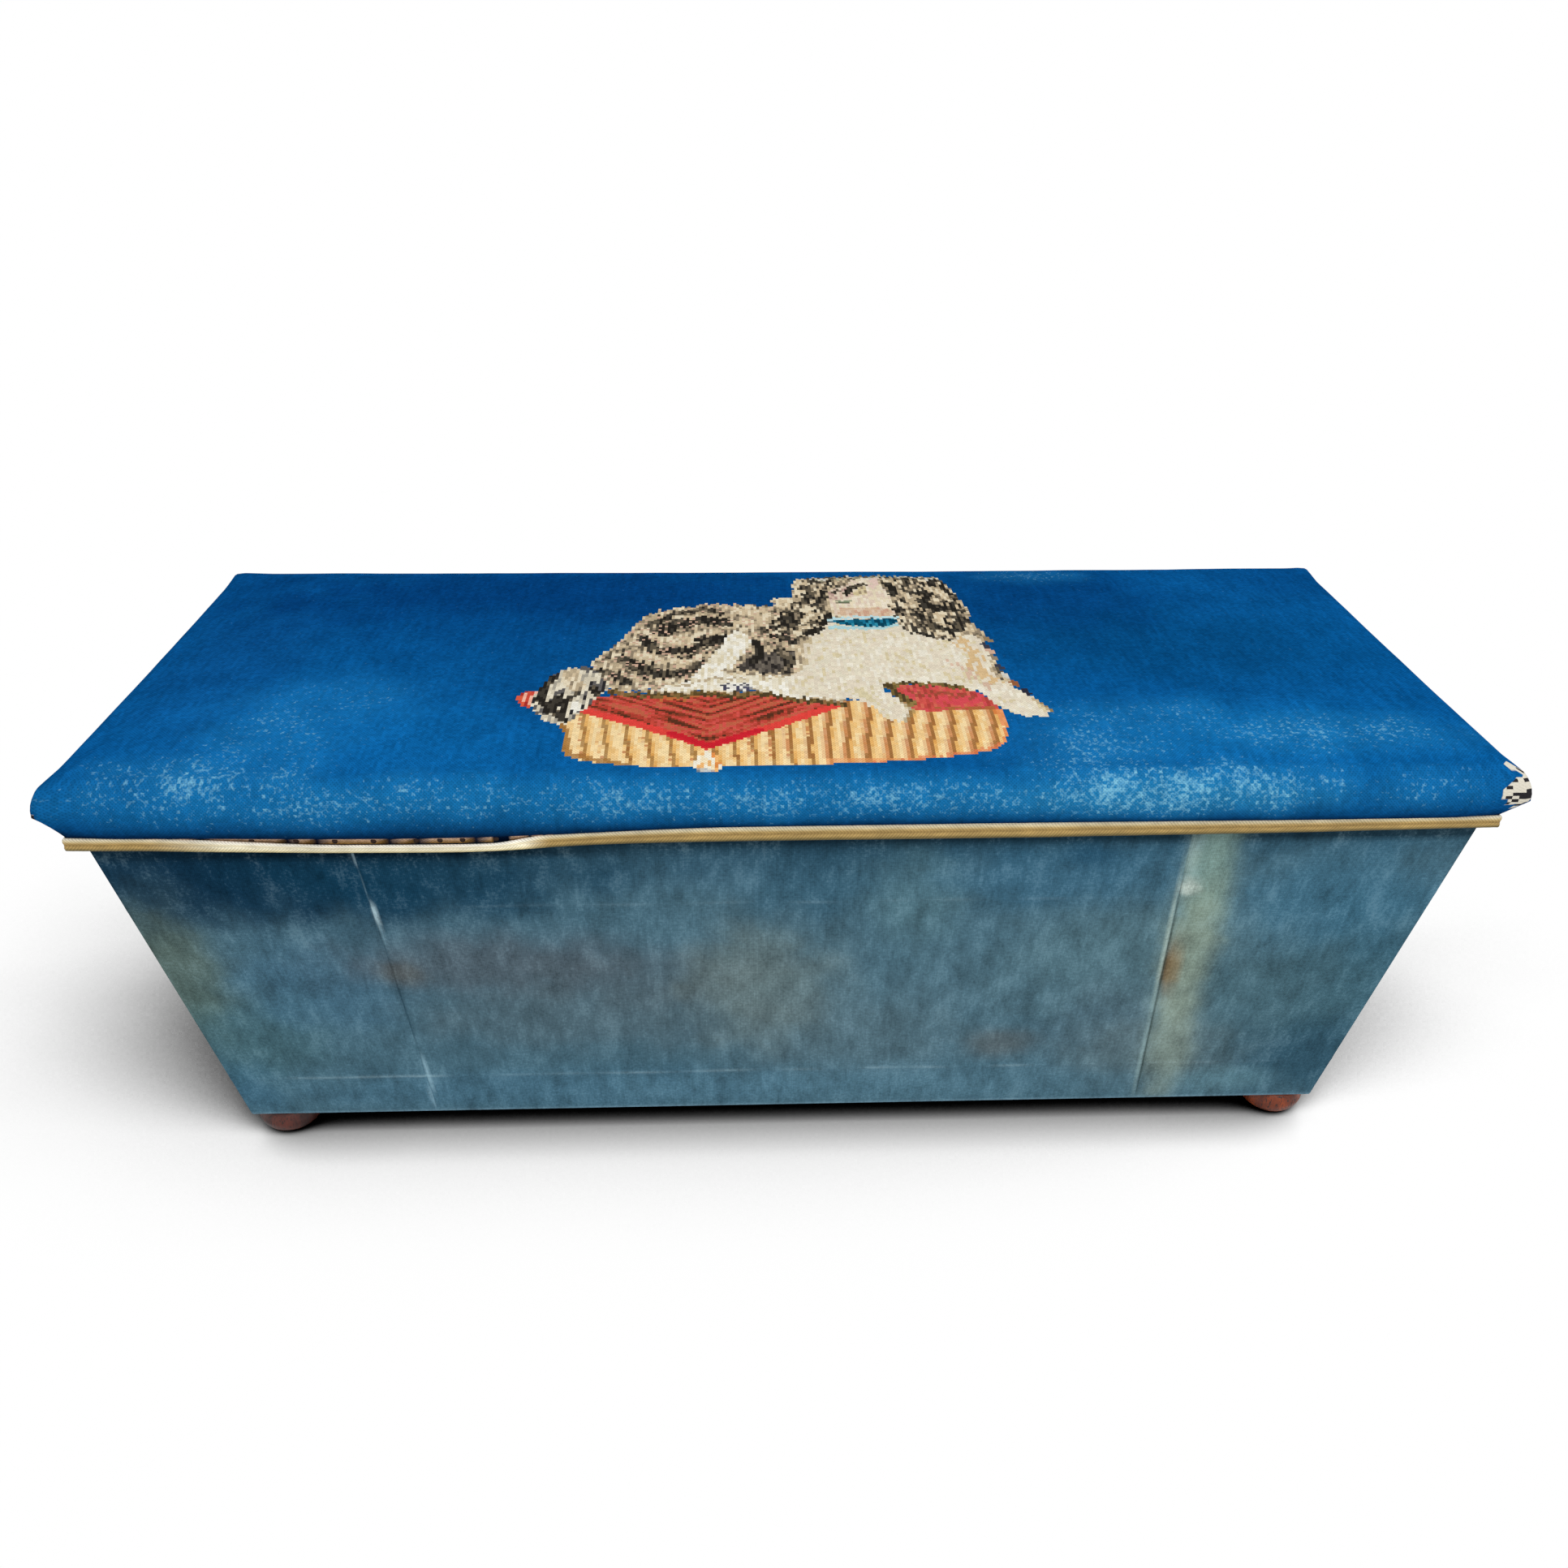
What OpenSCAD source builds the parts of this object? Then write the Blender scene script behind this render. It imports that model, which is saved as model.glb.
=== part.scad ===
// Box ottoman of tapering form: a pine box that leans in towards the floor, closely covered in
// wool cloth, on four turned bun feet, with a stuffed lid hinged along its back edge.
// Millimetres, +Z up. The origin is on the floor under the middle of the box, +X along its
// length and the front towards -Y.

/* [Box] */
// Length of the box at its top edge, over the cloth
body_l = 1270; // [1000:10:1500]
// Depth of the box at its top edge, over the cloth
body_d = 475; // [400:5:600]
// Height of the box boards
body_h = 390; // [300:5:480]
// How far each side leans in between its top and its bottom edge
lean_in = 52; // [20:1:75]
// Thickness of the pine boards
board_t = 20; // [17:1:26]
// Thickness of the bottom board
bottom_t = 18; // [17:1:26]
// Length of each leg of the glue blocks in the corners
block_leg = 30; // [18:1:45]
// How far the glue blocks stop below the top edge
block_drop = 60; // [20:5:120]

/* [Feet] */
// Height of a bun foot, from the floor to the bottom board
foot_h = 35; // [28:1:45]
// Radius of a bun foot at its belly
foot_r = 35; // [32:1:40]
// Height of the belly above the floor
foot_belly_z = 20; // [16:1:22]
// Radius of the neck that meets the bottom board
foot_neck_r = 15; // [12:1:16]
// Height of the neck
foot_neck_h = 2; // [1.5:0.5:4]
// Distance of a foot's centre from the box's lower edges
foot_inset = 31; // [31:1:50]
// Radius of the foot's spigot
spigot_r = 6; // [5:0.5:8]
// Length of the foot's spigot
spigot_l = 14; // [8:1:15]

/* [Cloth on the box] */
// Thickness of the wool cloth
cloth_t = 1.2; // [0.8:0.1:2]
// Width of the cloth turned in under the bottom edge
hem_w = 12; // [6:1:13]
// Width of the front cloth's left piece, from the box's top left corner to the seam
cloth_left_w = 234; // [120:1:350]
// Width of the front cloth's right piece, from the seam to the box's top right corner
cloth_right_w = 267; // [120:1:350]
// How far the seams run over to the right from the top to the bottom of the front
seam_lean = 18; // [0:1:40]
// Thickness of the lining inside the box and under the lid
lining_t = 0.8; // [0.5:0.1:1.2]

/* [Lid] */
// How far the stuffed edge stands out beyond the box's top edge
lid_over = 25; // [20:1:35]
// How far the braid's face stands out beyond the box's top edge
braid_over = 12; // [10:1:14]
// Gap between the closed lid's lining and the box's top edge
lid_gap = 0.4; // [0.3:0.1:1]
// Thickness of the frame rails
rail_t = 22; // [19:1:28]
// Width of the frame rails
rail_w = 60; // [45:1:80]
// Number of cross rails in the frame
cross_rails = 2; // [1:1:3]
// Width of a cross rail
cross_w = 45; // [30:1:60]
// How far the cross rails lie below the top of the frame
cross_drop = 6; // [3:1:9]
// Width of a strip of webbing
web_w = 50; // [38:1:60]
// Thickness of the webbing
web_t = 1.5; // [1:0.1:2.5]
// Spacing of the strips that run from front to back
cross_web_pitch = 130; // [110:1:160]
// Spacing of the strips that run along the lid
long_web_pitch = 120; // [100:1:140]
// Height of the stuffed edge's widest line above the rails' underside
wide_h = 36; // [32:1:42]
// Height of the shoulder, where the edge turns into the top, above the rails' underside
shoulder_h = 62; // [52:1:75]
// Rise of the top from the shoulder to the middle
crown_h = 6; // [2:0.5:20]
// Width of the rounded shoulder
shoulder_w = 22; // [20:1:50]
// Radius of the lid's corners at the widest line
corner_r = 5; // [5:1:30]
// How far the long sides draw in between the corners
draw_in = 5; // [0:0.5:12]
// Thickness of the woolwork cover
woolwork_t = 2; // [1.2:0.1:3]
// Thickness of the calico cover under the woolwork
calico_t = 0.8; // [0.5:0.1:1.2]

/* [Braid] */
// Height of the braid
braid_h = 12.5; // [9:0.5:14]
// Thickness of the braid
braid_t = 2.4; // [1.5:0.1:3]
// How far the loose stretch of braid hangs down
sag_drop = 8; // [0:0.5:9]
// Distance of the loose stretch from the braid's front left corner
sag_start = 90; // [20:1:150]
// Length of the loose stretch
sag_l = 390; // [150:5:600]

/* [Hinges] */
// Length of a butt hinge
hinge_l = 76; // [63:1:100]
// Distance of a hinge's middle from the end of the box
hinge_in = 235; // [120:5:350]
// Width of a hinge leaf, from the pin's axis
leaf_w = 19; // [17:0.5:20]
// Thickness of a hinge leaf
leaf_t = 2; // [1.5:0.1:2.5]
// Radius of the hinge's barrels
barrel_r = 4; // [3.5:0.1:4.5]
// Radius of the hinge pin
pin_r = 1.8; // [1.4:0.1:2.2]
// Number of barrels on one hinge
barrels = 5; // [3:2:7]
// How far the pin's axis stands out behind the box's cloth
hinge_out = 1.5; // [1.2:0.1:2.5]
// Radius of a screw's shank
screw_r = 1.9; // [1.5:0.1:2.2]
// Radius of a countersunk screw head
screw_head_r = 3.8; // [3:0.1:4.2]
// Length of a screw
screw_l = 15; // [10:1:16]

/* [Hidden] */

// Colours
pine = "#b98d5a";
mahogany = "#6e3218";
blue_cloth = "#35617a";
blue_wool = "#0f4f96";
calico = "#d8ceb6";
jute = "#a98c62";
hair = "#3a3028";
gimp = "#c9a768";
brass = "#b08d3e";

// Overrun of cuts, and the fits of pieces in their seats
over = 1;
spigot_fit = 0.1;
pin_fit = 0.05;
screw_fit = 0.05;
recess_fit = 0.4;
web_gap = 0.1;
layer_gap = 0.1;

// Levels of the box
bottom_z = foot_h;
top_z = bottom_z + body_h;
floor_z = bottom_z + bottom_t;
side_angle = atan(lean_in / body_h);
corner_angle = atan(lean_in * sqrt(2) / body_h);
reach = body_l + body_d;

// Depths below the outer face of the cloth, square to a leaning side
board_in = cloth_t;
wall_in = cloth_t + board_t;

// Half of the box's top edge, by side: 0 front, 1 right end, 2 back, 3 left end
function half_top(side) = side % 2 == 0 ? body_d / 2 : body_l / 2;

// Places of the feet, worked from the box's lower corners
foot_x = body_l / 2 - lean_in - foot_inset;
foot_y = body_d / 2 - lean_in - foot_inset;
foot_shoulder_r = foot_h - foot_neck_h - foot_belly_z;

// Levels and half sizes of the lid
seam_h = lid_gap + lining_t;
rail_z = top_z + seam_h;
rail_top_z = rail_z + rail_t;
lid_hx = body_l / 2 + lid_over;
lid_hy = body_d / 2 + lid_over;
braid_in = lid_over - braid_over;
wool_margin_t = woolwork_t / 2;
tuck_in = braid_in + braid_t + layer_gap;
calico_tuck_in = tuck_in + wool_margin_t + layer_gap;
rail_in = calico_tuck_in + calico_t + layer_gap;
rail_hx = lid_hx - rail_in;
rail_hy = lid_hy - rail_in;
cross_t = rail_t - cross_drop;
tenon_l = rail_w / 4;
tenon_t = cross_t / 2;
tenon_fit = 0.1;
lining_in = 14;
web_end_in = 15;
web_ease = 2;
hessian_t = 0.8;
hessian_in = 5;
hessian_z = rail_top_z + 2 * web_t + web_gap + layer_gap;
pad_z = hessian_z + hessian_t + layer_gap;
braid_z = rail_z + layer_gap;
braid_top_z = braid_z + braid_h;
margin_z = braid_z + braid_h / 3;
wide_z = rail_z + wide_h;
shoulder_z = rail_z + shoulder_h;

// Places of the seams in the front cloth
seam_left_x = -body_l / 2 + cloth_left_w;
seam_right_x = body_l / 2 - cloth_right_w;

// Hinge: the pin's axis lies half way up the seam between box and lid
hinge_x = body_l / 2 - hinge_in;
axis_y = body_d / 2 + hinge_out;
axis_z = top_z + seam_h / 2;
barrel_gap = 0.3;
barrel_pitch = hinge_l / barrels;
barrel_clear = barrel_r + recess_fit;
pin_head_t = 1.2;
pin_head_r = barrel_r - 2 * barrel_gap;
screw_head_h = screw_head_r - screw_r;
screw_pitch_share = 1 / 3;
screw_y = -(leaf_w + barrel_clear) / 2;

// Detail of the soft forms: points on a corner, on a side, and rings on each part of the edge
corner_steps = 3;
side_steps = 5;
under_steps = 3;
shoulder_steps = 4;
crown_steps = 4;
core_half = 24;
margin_r = 1;
tuck_bow = -layer_gap;
end_draw_share = 0.5;
sag_steps = 12;
foot_steps = 32;
hole_steps = 24;

// The box: leaning slabs and what is cut from them

// A slab parallel to one leaning side, between two depths below its outer face
module side_slab(side, depth, thick)
    rotate([0, 0, 90 * side])
        translate([0, -half_top(side), top_z])
            rotate([side_angle, 0, 0])
                translate([-reach / 2, depth, -reach])
                    cube([reach, thick, 2 * reach]);

// The space between two levels inside all four sides, with a depth for the long sides
// and one for the ends
module tapered_block(long_depth, end_depth, low_z, high_z)
    intersection() {
        intersection_for(side = [0:3])
            side_slab(side, side % 2 == 0 ? long_depth : end_depth, reach);
        translate([-reach / 2, -reach / 2, low_z])
            cube([reach, reach, high_z - low_z]);
    }

// One board of a long side, which runs past the ends
module long_board(side)
    intersection() {
        tapered_block(board_in, board_in, bottom_z, top_z);
        side_slab(side, board_in, board_t);
    }

// One end board, cut to fit between the long boards with compound-angle edges
module end_board(side)
    intersection() {
        tapered_block(wall_in, board_in, bottom_z, top_z);
        side_slab(side, board_in, board_t);
    }

module front_board()
    color(pine) long_board(0);

module back_board()
    color(pine)
        difference() {
            long_board(2);
            at_hinges() box_recess();
            at_hinges() box_screws(screw_fit);
        }

module left_end_board()
    color(pine) end_board(3);

module right_end_board()
    color(pine) end_board(1);

module bottom_board()
    color(pine)
        difference() {
            tapered_block(wall_in, wall_in, bottom_z, floor_z);
            for (sx = [-1, 1], sy = [-1, 1])
                translate([sx * foot_x, sy * foot_y, bottom_z - over])
                    cylinder(r = spigot_r + spigot_fit, h = spigot_l + spigot_fit + over,
                             $fn = foot_steps);
        }

// Everything nearer to a corner than the sloping face of its glue block
module corner_wedge(corner)
    rotate([0, 0, 90 * corner + 45])
        translate([0, -(body_l + body_d) / 2 / sqrt(2), top_z])
            rotate([corner_angle, 0, 0])
                translate([-reach / 2, -reach, -reach])
                    cube([reach, reach + wall_in * sqrt(2) + block_leg / sqrt(2), 2 * reach]);

module corner_blocks()
    color(pine)
        for (corner = [0:3])
            intersection() {
                tapered_block(wall_in, wall_in, floor_z, top_z - block_drop);
                corner_wedge(corner);
            }

// A turned bun foot: a full belly, a rounded shoulder, a neck and a spigot
module bun_foot(sx, sy)
    color(mahogany)
        translate([sx * foot_x, sy * foot_y, 0])
            rotate_extrude($fn = foot_steps)
                union() {
                    square([foot_r - foot_belly_z, foot_belly_z]);
                    intersection() {
                        translate([foot_r - foot_belly_z, foot_belly_z])
                            circle(r = foot_belly_z, $fn = hole_steps);
                        square([foot_r, foot_belly_z]);
                    }
                    translate([0, foot_belly_z])
                        square([foot_r - foot_shoulder_r, foot_shoulder_r]);
                    intersection() {
                        translate([foot_r - foot_shoulder_r, foot_belly_z])
                            circle(r = foot_shoulder_r, $fn = hole_steps);
                        translate([0, foot_belly_z])
                            square([foot_r, foot_shoulder_r]);
                    }
                    translate([0, foot_belly_z])
                        square([foot_neck_r, foot_h - foot_belly_z]);
                    translate([0, foot_belly_z])
                        square([spigot_r, foot_h + spigot_l - foot_belly_z]);
                }

// The cloth: a skin on each side, with its lower edge turned in under the boards

// How far over a seam has run at a level
function seam_shift(z) = seam_lean * (top_z - z) / body_h;

// The cloth of one side between two places along its top edge, up to a depth inside the long
// sides' faces
module side_cloth(side, long_depth, from_x, to_x)
    intersection() {
        union() {
            intersection() {
                tapered_block(long_depth, 0, bottom_z, top_z);
                side_slab(side, 0, cloth_t);
            }
            intersection() {
                tapered_block(long_depth > 0 ? hem_w : 0, 0, bottom_z - cloth_t, bottom_z);
                side_slab(side, 0, hem_w);
            }
        }
        rotate([90, 0, 0])
            linear_extrude(height = 2 * reach, center = true)
                polygon([for (p = [[from_x, top_z + over], [to_x, top_z + over],
                                   [to_x, 0], [from_x, 0]])
                    [p.x + seam_shift(p.y), p.y]]);
    }

module front_cloth_middle()
    color(blue_cloth) side_cloth(0, 0, seam_left_x, seam_right_x);

module front_cloth_left()
    color(blue_cloth) side_cloth(0, 0, -reach, seam_left_x);

module front_cloth_right()
    color(blue_cloth) side_cloth(0, 0, seam_right_x, reach);

module left_end_cloth()
    color(blue_cloth) side_cloth(3, cloth_t, -reach, reach);

module right_end_cloth()
    color(blue_cloth) side_cloth(1, cloth_t, -reach, reach);

module back_cloth()
    color(blue_cloth)
        difference() {
            side_cloth(2, 0, -reach, reach);
            at_hinges() box_recess();
        }

// Cotton lining pasted on the inside walls, between the glue blocks
module wall_lining()
    color(calico)
        difference() {
            tapered_block(wall_in, wall_in, floor_z, top_z);
            tapered_block(wall_in + lining_t, wall_in + lining_t, floor_z - over, top_z + over);
            corner_blocks();
        }

module bottom_lining()
    color(calico)
        difference() {
            tapered_block(wall_in + lining_t, wall_in + lining_t, floor_z, floor_z + lining_t);
            corner_blocks();
        }

// The hinges: two brass butts, each with its leaves let into the back board and the back rail

module at_hinges()
    for (sx = [-1, 1])
        at_hinge(sx) children();

module at_hinge(sx)
    translate([sx * hinge_x, axis_y, axis_z]) children();

// Seat of the box leaf and room for the barrels
module box_recess() {
    recess_l = hinge_l + 2 * (pin_head_t + recess_fit);
    translate([-recess_l / 2, -leaf_w, -seam_h / 2 - leaf_t])
        cube([recess_l, leaf_w, leaf_t + over]);
    translate([-recess_l / 2, -barrel_clear, -barrel_clear])
        cube([recess_l, 2 * barrel_clear, barrel_clear + over]);
}

// Seat of the lid leaf and room for the barrels
module lid_recess()
    mirror([0, 0, 1]) {
        box_recess();
        translate([-hinge_l / 2 - pin_head_t - recess_fit, -barrel_clear, -barrel_clear])
            cube([hinge_l + 2 * (pin_head_t + recess_fit), rail_in + lid_over,
                  barrel_clear + over]);
    }

// One leaf below the axis, with its plate and every second barrel from the first one named
module hinge_leaf(first)
    difference() {
        union() {
            translate([-hinge_l / 2, -leaf_w, -seam_h / 2 - leaf_t])
                cube([hinge_l, leaf_w - barrel_r - barrel_gap, leaf_t]);
            for (k = [first:2:barrels - 1])
                translate([-hinge_l / 2 + k * barrel_pitch + barrel_gap / 2, 0, 0]) {
                    translate([0, -barrel_r - leaf_t, -seam_h / 2 - leaf_t])
                        cube([barrel_pitch - barrel_gap, barrel_r + leaf_t, leaf_t]);
                    rotate([0, 90, 0])
                        cylinder(r = barrel_r, h = barrel_pitch - barrel_gap, $fn = hole_steps);
                }
        }
        translate([-hinge_l / 2 - over, 0, 0])
            rotate([0, 90, 0])
                cylinder(r = pin_r + pin_fit, h = hinge_l + 2 * over, $fn = hole_steps);
        box_screws(screw_fit);
    }

// Three countersunk screws, flush in a leaf below the axis; grown by a fit to cut their holes
module box_screws(fit)
    for (k = [-1:1])
        translate([k * hinge_l * screw_pitch_share, screw_y, -seam_h / 2]) {
            translate([0, 0, -screw_l - fit])
                cylinder(r = screw_r + fit, h = screw_l + fit, $fn = hole_steps);
            translate([0, 0, -screw_head_h - fit])
                cylinder(r1 = screw_r + fit, r2 = screw_head_r + 2 * fit,
                         h = screw_head_h + fit, $fn = hole_steps);
        }

module box_hinge_leaf_left()
    color(brass) at_hinge(-1) hinge_leaf(0);

module box_hinge_leaf_right()
    color(brass) at_hinge(1) hinge_leaf(0);

module lid_hinge_leaf_left()
    color(brass) at_hinge(-1) mirror([0, 0, 1]) hinge_leaf(1);

module lid_hinge_leaf_right()
    color(brass) at_hinge(1) mirror([0, 0, 1]) hinge_leaf(1);

// A pin with a riveted head at each end
module hinge_pin()
    rotate([0, 90, 0]) {
        cylinder(r = pin_r, h = hinge_l + pin_head_t, center = true, $fn = hole_steps);
        for (end = [0, 1])
            mirror([0, 0, end])
                translate([0, 0, hinge_l / 2])
                    cylinder(r = pin_head_r, h = pin_head_t, $fn = hole_steps);
    }

module hinge_pin_left()
    color(brass) at_hinge(-1) hinge_pin();

module hinge_pin_right()
    color(brass) at_hinge(1) hinge_pin();

module box_hinge_screws()
    color(brass) at_hinges() box_screws(0);

module lid_hinge_screws()
    color(brass) at_hinges() mirror([0, 0, 1]) box_screws(0);

// The lid's frame: four rails half lapped at the corners, and cross rails tenoned between them

// The places of the cross rails, evenly spaced
function cross_rail_x(k) = rail_hx * (2 * (k + 1) / (cross_rails + 1) - 1);

module cross_tenons(fit)
    for (k = [0:cross_rails - 1])
        translate([cross_rail_x(k) - cross_w / 2 - fit, -rail_hy + rail_w - tenon_l - fit,
                   rail_z + (cross_t - tenon_t) / 2 - fit])
            cube([cross_w + 2 * fit, 2 * (rail_hy - rail_w + tenon_l + fit),
                  tenon_t + 2 * fit]);

module long_rail(side)
    difference() {
        translate([-rail_hx, side > 0 ? rail_hy - rail_w : -rail_hy, rail_z])
            cube([2 * rail_hx, rail_w, rail_t]);
        for (end = [-1, 1])
            translate([end > 0 ? rail_hx - rail_w : -rail_hx - over,
                       -rail_hy - over, rail_z + rail_t / 2])
                cube([rail_w + over, 2 * (rail_hy + over), rail_t]);
        cross_tenons(tenon_fit);
    }

module end_rail(side)
    difference() {
        translate([side > 0 ? rail_hx - rail_w : -rail_hx, -rail_hy, rail_z])
            cube([rail_w, 2 * rail_hy, rail_t]);
        for (end = [-1, 1])
            translate([-rail_hx - over, end > 0 ? rail_hy - rail_w : -rail_hy - over,
                       rail_z + rail_t / 2 - rail_t])
                cube([2 * (rail_hx + over), rail_w + over, rail_t]);
    }

module lid_front_rail()
    color(pine) long_rail(-1);

module lid_back_rail()
    color(pine)
        difference() {
            long_rail(1);
            at_hinges() lid_recess();
            at_hinges() mirror([0, 0, 1]) box_screws(screw_fit);
        }

module lid_left_rail()
    color(pine) end_rail(-1);

module lid_right_rail()
    color(pine) end_rail(1);

module lid_cross_rails()
    color(pine) {
        for (k = [0:cross_rails - 1])
            translate([cross_rail_x(k) - cross_w / 2, -rail_hy + rail_w, rail_z])
                cube([cross_w, 2 * (rail_hy - rail_w), cross_t]);
        cross_tenons(0);
    }

// Webbing, woven over and under: each strip's edge is a path that steps at every crossing

open_hx = rail_hx - rail_w;
open_hy = rail_hy - rail_w;
cross_webs = floor((open_hx - web_w / 2) / cross_web_pitch);
long_webs = floor((open_hy - web_w / 2) / long_web_pitch);

function web_level(over_here) = over_here ? web_t + web_gap : 0;

// Path of a strip that crosses 2 * count + 1 others, from one rail to the other
function web_path(index, count, pitch, open_half, end_half, start) = concat(
    [[-end_half, 0], [-open_half, 0]],
    [for (k = [-count:count], edge = [-1, 1])
        [k * pitch + edge * (web_w / 2 + web_ease),
         web_level((abs(k) + abs(index) + start) % 2 == 0)]],
    [[open_half, 0], [end_half, 0]]);

function reversed(list) = [for (k = [len(list) - 1:-1:0]) list[k]];

module web_strip(path)
    linear_extrude(height = web_w, center = true)
        polygon(concat(path, [for (p = reversed(path)) p + [0, web_t]]));

module webbing()
    color(jute) {
        for (k = [-cross_webs:cross_webs])
            translate([k * cross_web_pitch, 0, rail_top_z])
                rotate([90, 0, 90])
                    web_strip(web_path(k, long_webs, long_web_pitch, open_hy,
                                       rail_hy - web_end_in, 0));
        for (k = [-long_webs:long_webs])
            translate([0, k * long_web_pitch, rail_top_z])
                rotate([90, 0, 0])
                    web_strip(web_path(k, cross_webs, cross_web_pitch, open_hx,
                                       rail_hx - web_end_in, 1));
    }

module hessian()
    color(jute)
        translate([-rail_hx + hessian_in, -rail_hy + hessian_in, hessian_z])
            cube([2 * (rail_hx - hessian_in), 2 * (rail_hy - hessian_in), hessian_t]);

// The stuffed forms: rings stacked from the tuck line out to the widest line and up to the crown

// How far a side draws in at a share of its length
function bow(share, draw) = draw * 4 * share * (1 - share);

// A rectangle with rounded corners whose sides draw in, at one level
function ring(hx, hy, r, draw, z) = [
    for (q = [0:3])
        let (sx = (q == 0 || q == 3) ? 1 : -1, sy = q < 2 ? 1 : -1,
             long = q % 2 == 0,
             span = 2 * ((long ? hx : hy) - r),
             d = long ? draw : draw * end_draw_share)
        each concat(
            [for (k = [0:corner_steps])
                [sx * (hx - r) + r * cos(90 * (q + k / corner_steps)),
                 sy * (hy - r) + r * sin(90 * (q + k / corner_steps)), z]],
            [for (k = [1:side_steps])
                let (t = k / (side_steps + 1))
                long ? [sx * (hx - r - span * t), sy * (hy - bow(t, d)), z]
                     : [sx * (hx - bow(t, d)), sy * (hy - r - span * t), z]])];

// One ring of a skin, at an inset from the lid's widest outline
function lid_ring(inset, z, draw, r) = ring(lid_hx - inset, lid_hy - inset, r, draw, z);

// Rings of the stuffed edge and top for a surface that lies a given depth below the woolwork
function stuffed_rings(depth, low_in) = concat(
    [for (k = [0:under_steps])
        let (a = 90 * k / under_steps)
        lid_ring(low_in + (depth - low_in) * sin(a),
                 wide_z - (wide_z - braid_top_z - depth) * cos(a),
                 tuck_bow + (draw_in - tuck_bow) * sin(a),
                 margin_r + (corner_r - depth - margin_r) * sin(a))],
    [for (k = [1:shoulder_steps])
        let (a = 90 * k / shoulder_steps)
        lid_ring(depth + shoulder_w * (1 - cos(a)),
                 wide_z + (shoulder_z - depth - wide_z) * sin(a), draw_in, corner_r - depth)],
    [for (k = [1:crown_steps])
        let (t = k / crown_steps, start = depth + shoulder_w)
        lid_ring(start + (lid_hy - core_half - start) * t,
                 shoulder_z - depth + crown_h * (1 - (1 - t) * (1 - t)),
                 draw_in + (tuck_bow - draw_in) * t, corner_r - depth)]);

// A closed skin through a stack of rings with the same number of points. Each four-cornered
// patch is folded along the same diagonal on the way up and on the way down, so that skins nest.
module ring_stack(rings) {
    n = len(rings[0]);
    last = (len(rings) - 1) * n;
    polyhedron(
        points = [for (r = rings) each r],
        faces = concat(
            [[for (k = [0:n - 1]) k]],
            [for (j = [0:len(rings) - 2], k = [0:n - 1])
                let (a = j * n + k, b = a + n, c = j * n + (k + 1) % n, d = c + n)
                each rings[j + 1][0].z < rings[j][0].z ? [[a, b, d], [a, d, c]]
                                                       : [[a, b, c], [c, b, d]]],
            [[for (k = [n - 1:-1:0]) last + k]]));
}

// A cover: a margin down the rail's face, then a skin over the stuffing
module cover_shell(depth, thick, face_in, margin_thick)
    ring_stack(concat(
        reversed(stuffed_rings(depth + thick, face_in + margin_thick)),
        [lid_ring(face_in + margin_thick, margin_z, tuck_bow, margin_r),
         lid_ring(face_in, margin_z, tuck_bow, margin_r)],
        stuffed_rings(depth, face_in)));

module woolwork_cover()
    color(blue_wool) cover_shell(0, woolwork_t, tuck_in, wool_margin_t);

module calico_cover()
    color(calico) cover_shell(woolwork_t + layer_gap, calico_t, calico_tuck_in, calico_t);

// Curled hair, stuffed over the frame's edges
module hair_pad()
    color(hair)
        difference() {
            ring_stack(stuffed_rings(woolwork_t + calico_t + 2 * layer_gap,
                                     rail_in + layer_gap));
            translate([-rail_hx, -rail_hy, rail_z])
                cube([2 * rail_hx, 2 * rail_hy, pad_z - rail_z]);
        }

// The braid: straight runs round the lid's lower edge, the front one with a loose stretch

// How far the braid hangs down at a distance from its front left corner
function sag(along) = along <= sag_start || along >= sag_start + sag_l ? 0
    : sag_drop * pow(sin(180 * (along - sag_start) / sag_l), 2);

module braid() {
    hx = lid_hx - braid_in;
    hy = lid_hy - braid_in;
    line = concat([0], [for (k = [0:sag_steps]) sag_start + sag_l * k / sag_steps], [2 * hx]);
    color(gimp) {
        translate([-hx, -hy + braid_t, braid_z])
            rotate([90, 0, 0])
                linear_extrude(height = braid_t)
                    polygon(concat([for (a = line) [a, -sag(a)]],
                                   [for (a = reversed(line)) [a, braid_h - sag(a)]]));
        translate([-hx, hy - braid_t, braid_z])
            cube([2 * hx, braid_t, braid_h]);
        for (end = [0, 1])
            mirror([end, 0, 0])
                translate([hx - braid_t, -hy, braid_z])
                    cube([braid_t, 2 * hy, braid_h]);
    }
}

module lid_lining()
    color(calico)
        difference() {
            translate([-rail_hx + lining_in, -rail_hy + lining_in, rail_z - lining_t])
                cube([2 * (rail_hx - lining_in), 2 * (rail_hy - lining_in), lining_t]);
            at_hinges()
                translate([-hinge_l / 2 - recess_fit, -leaf_w - recess_fit, -seam_h])
                    cube([hinge_l + 2 * recess_fit, leaf_w, 2 * seam_h]);
        }

front_board();
back_board();
left_end_board();
right_end_board();
bottom_board();
corner_blocks();
bun_foot(-1, -1);  // foot_front_left
bun_foot(1, -1);  // foot_front_right
bun_foot(-1, 1);  // foot_back_left
bun_foot(1, 1);  // foot_back_right
front_cloth_middle();
front_cloth_left();
front_cloth_right();
left_end_cloth();
right_end_cloth();
back_cloth();
wall_lining();
bottom_lining();
box_hinge_leaf_left();
box_hinge_leaf_right();
hinge_pin_left();
hinge_pin_right();
box_hinge_screws();
lid_front_rail();
lid_back_rail();
lid_left_rail();
lid_right_rail();
lid_cross_rails();
webbing();
hessian();
hair_pad();
calico_cover();
woolwork_cover();
braid();
lid_lining();
lid_hinge_leaf_left();
lid_hinge_leaf_right();
lid_hinge_screws();
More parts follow.
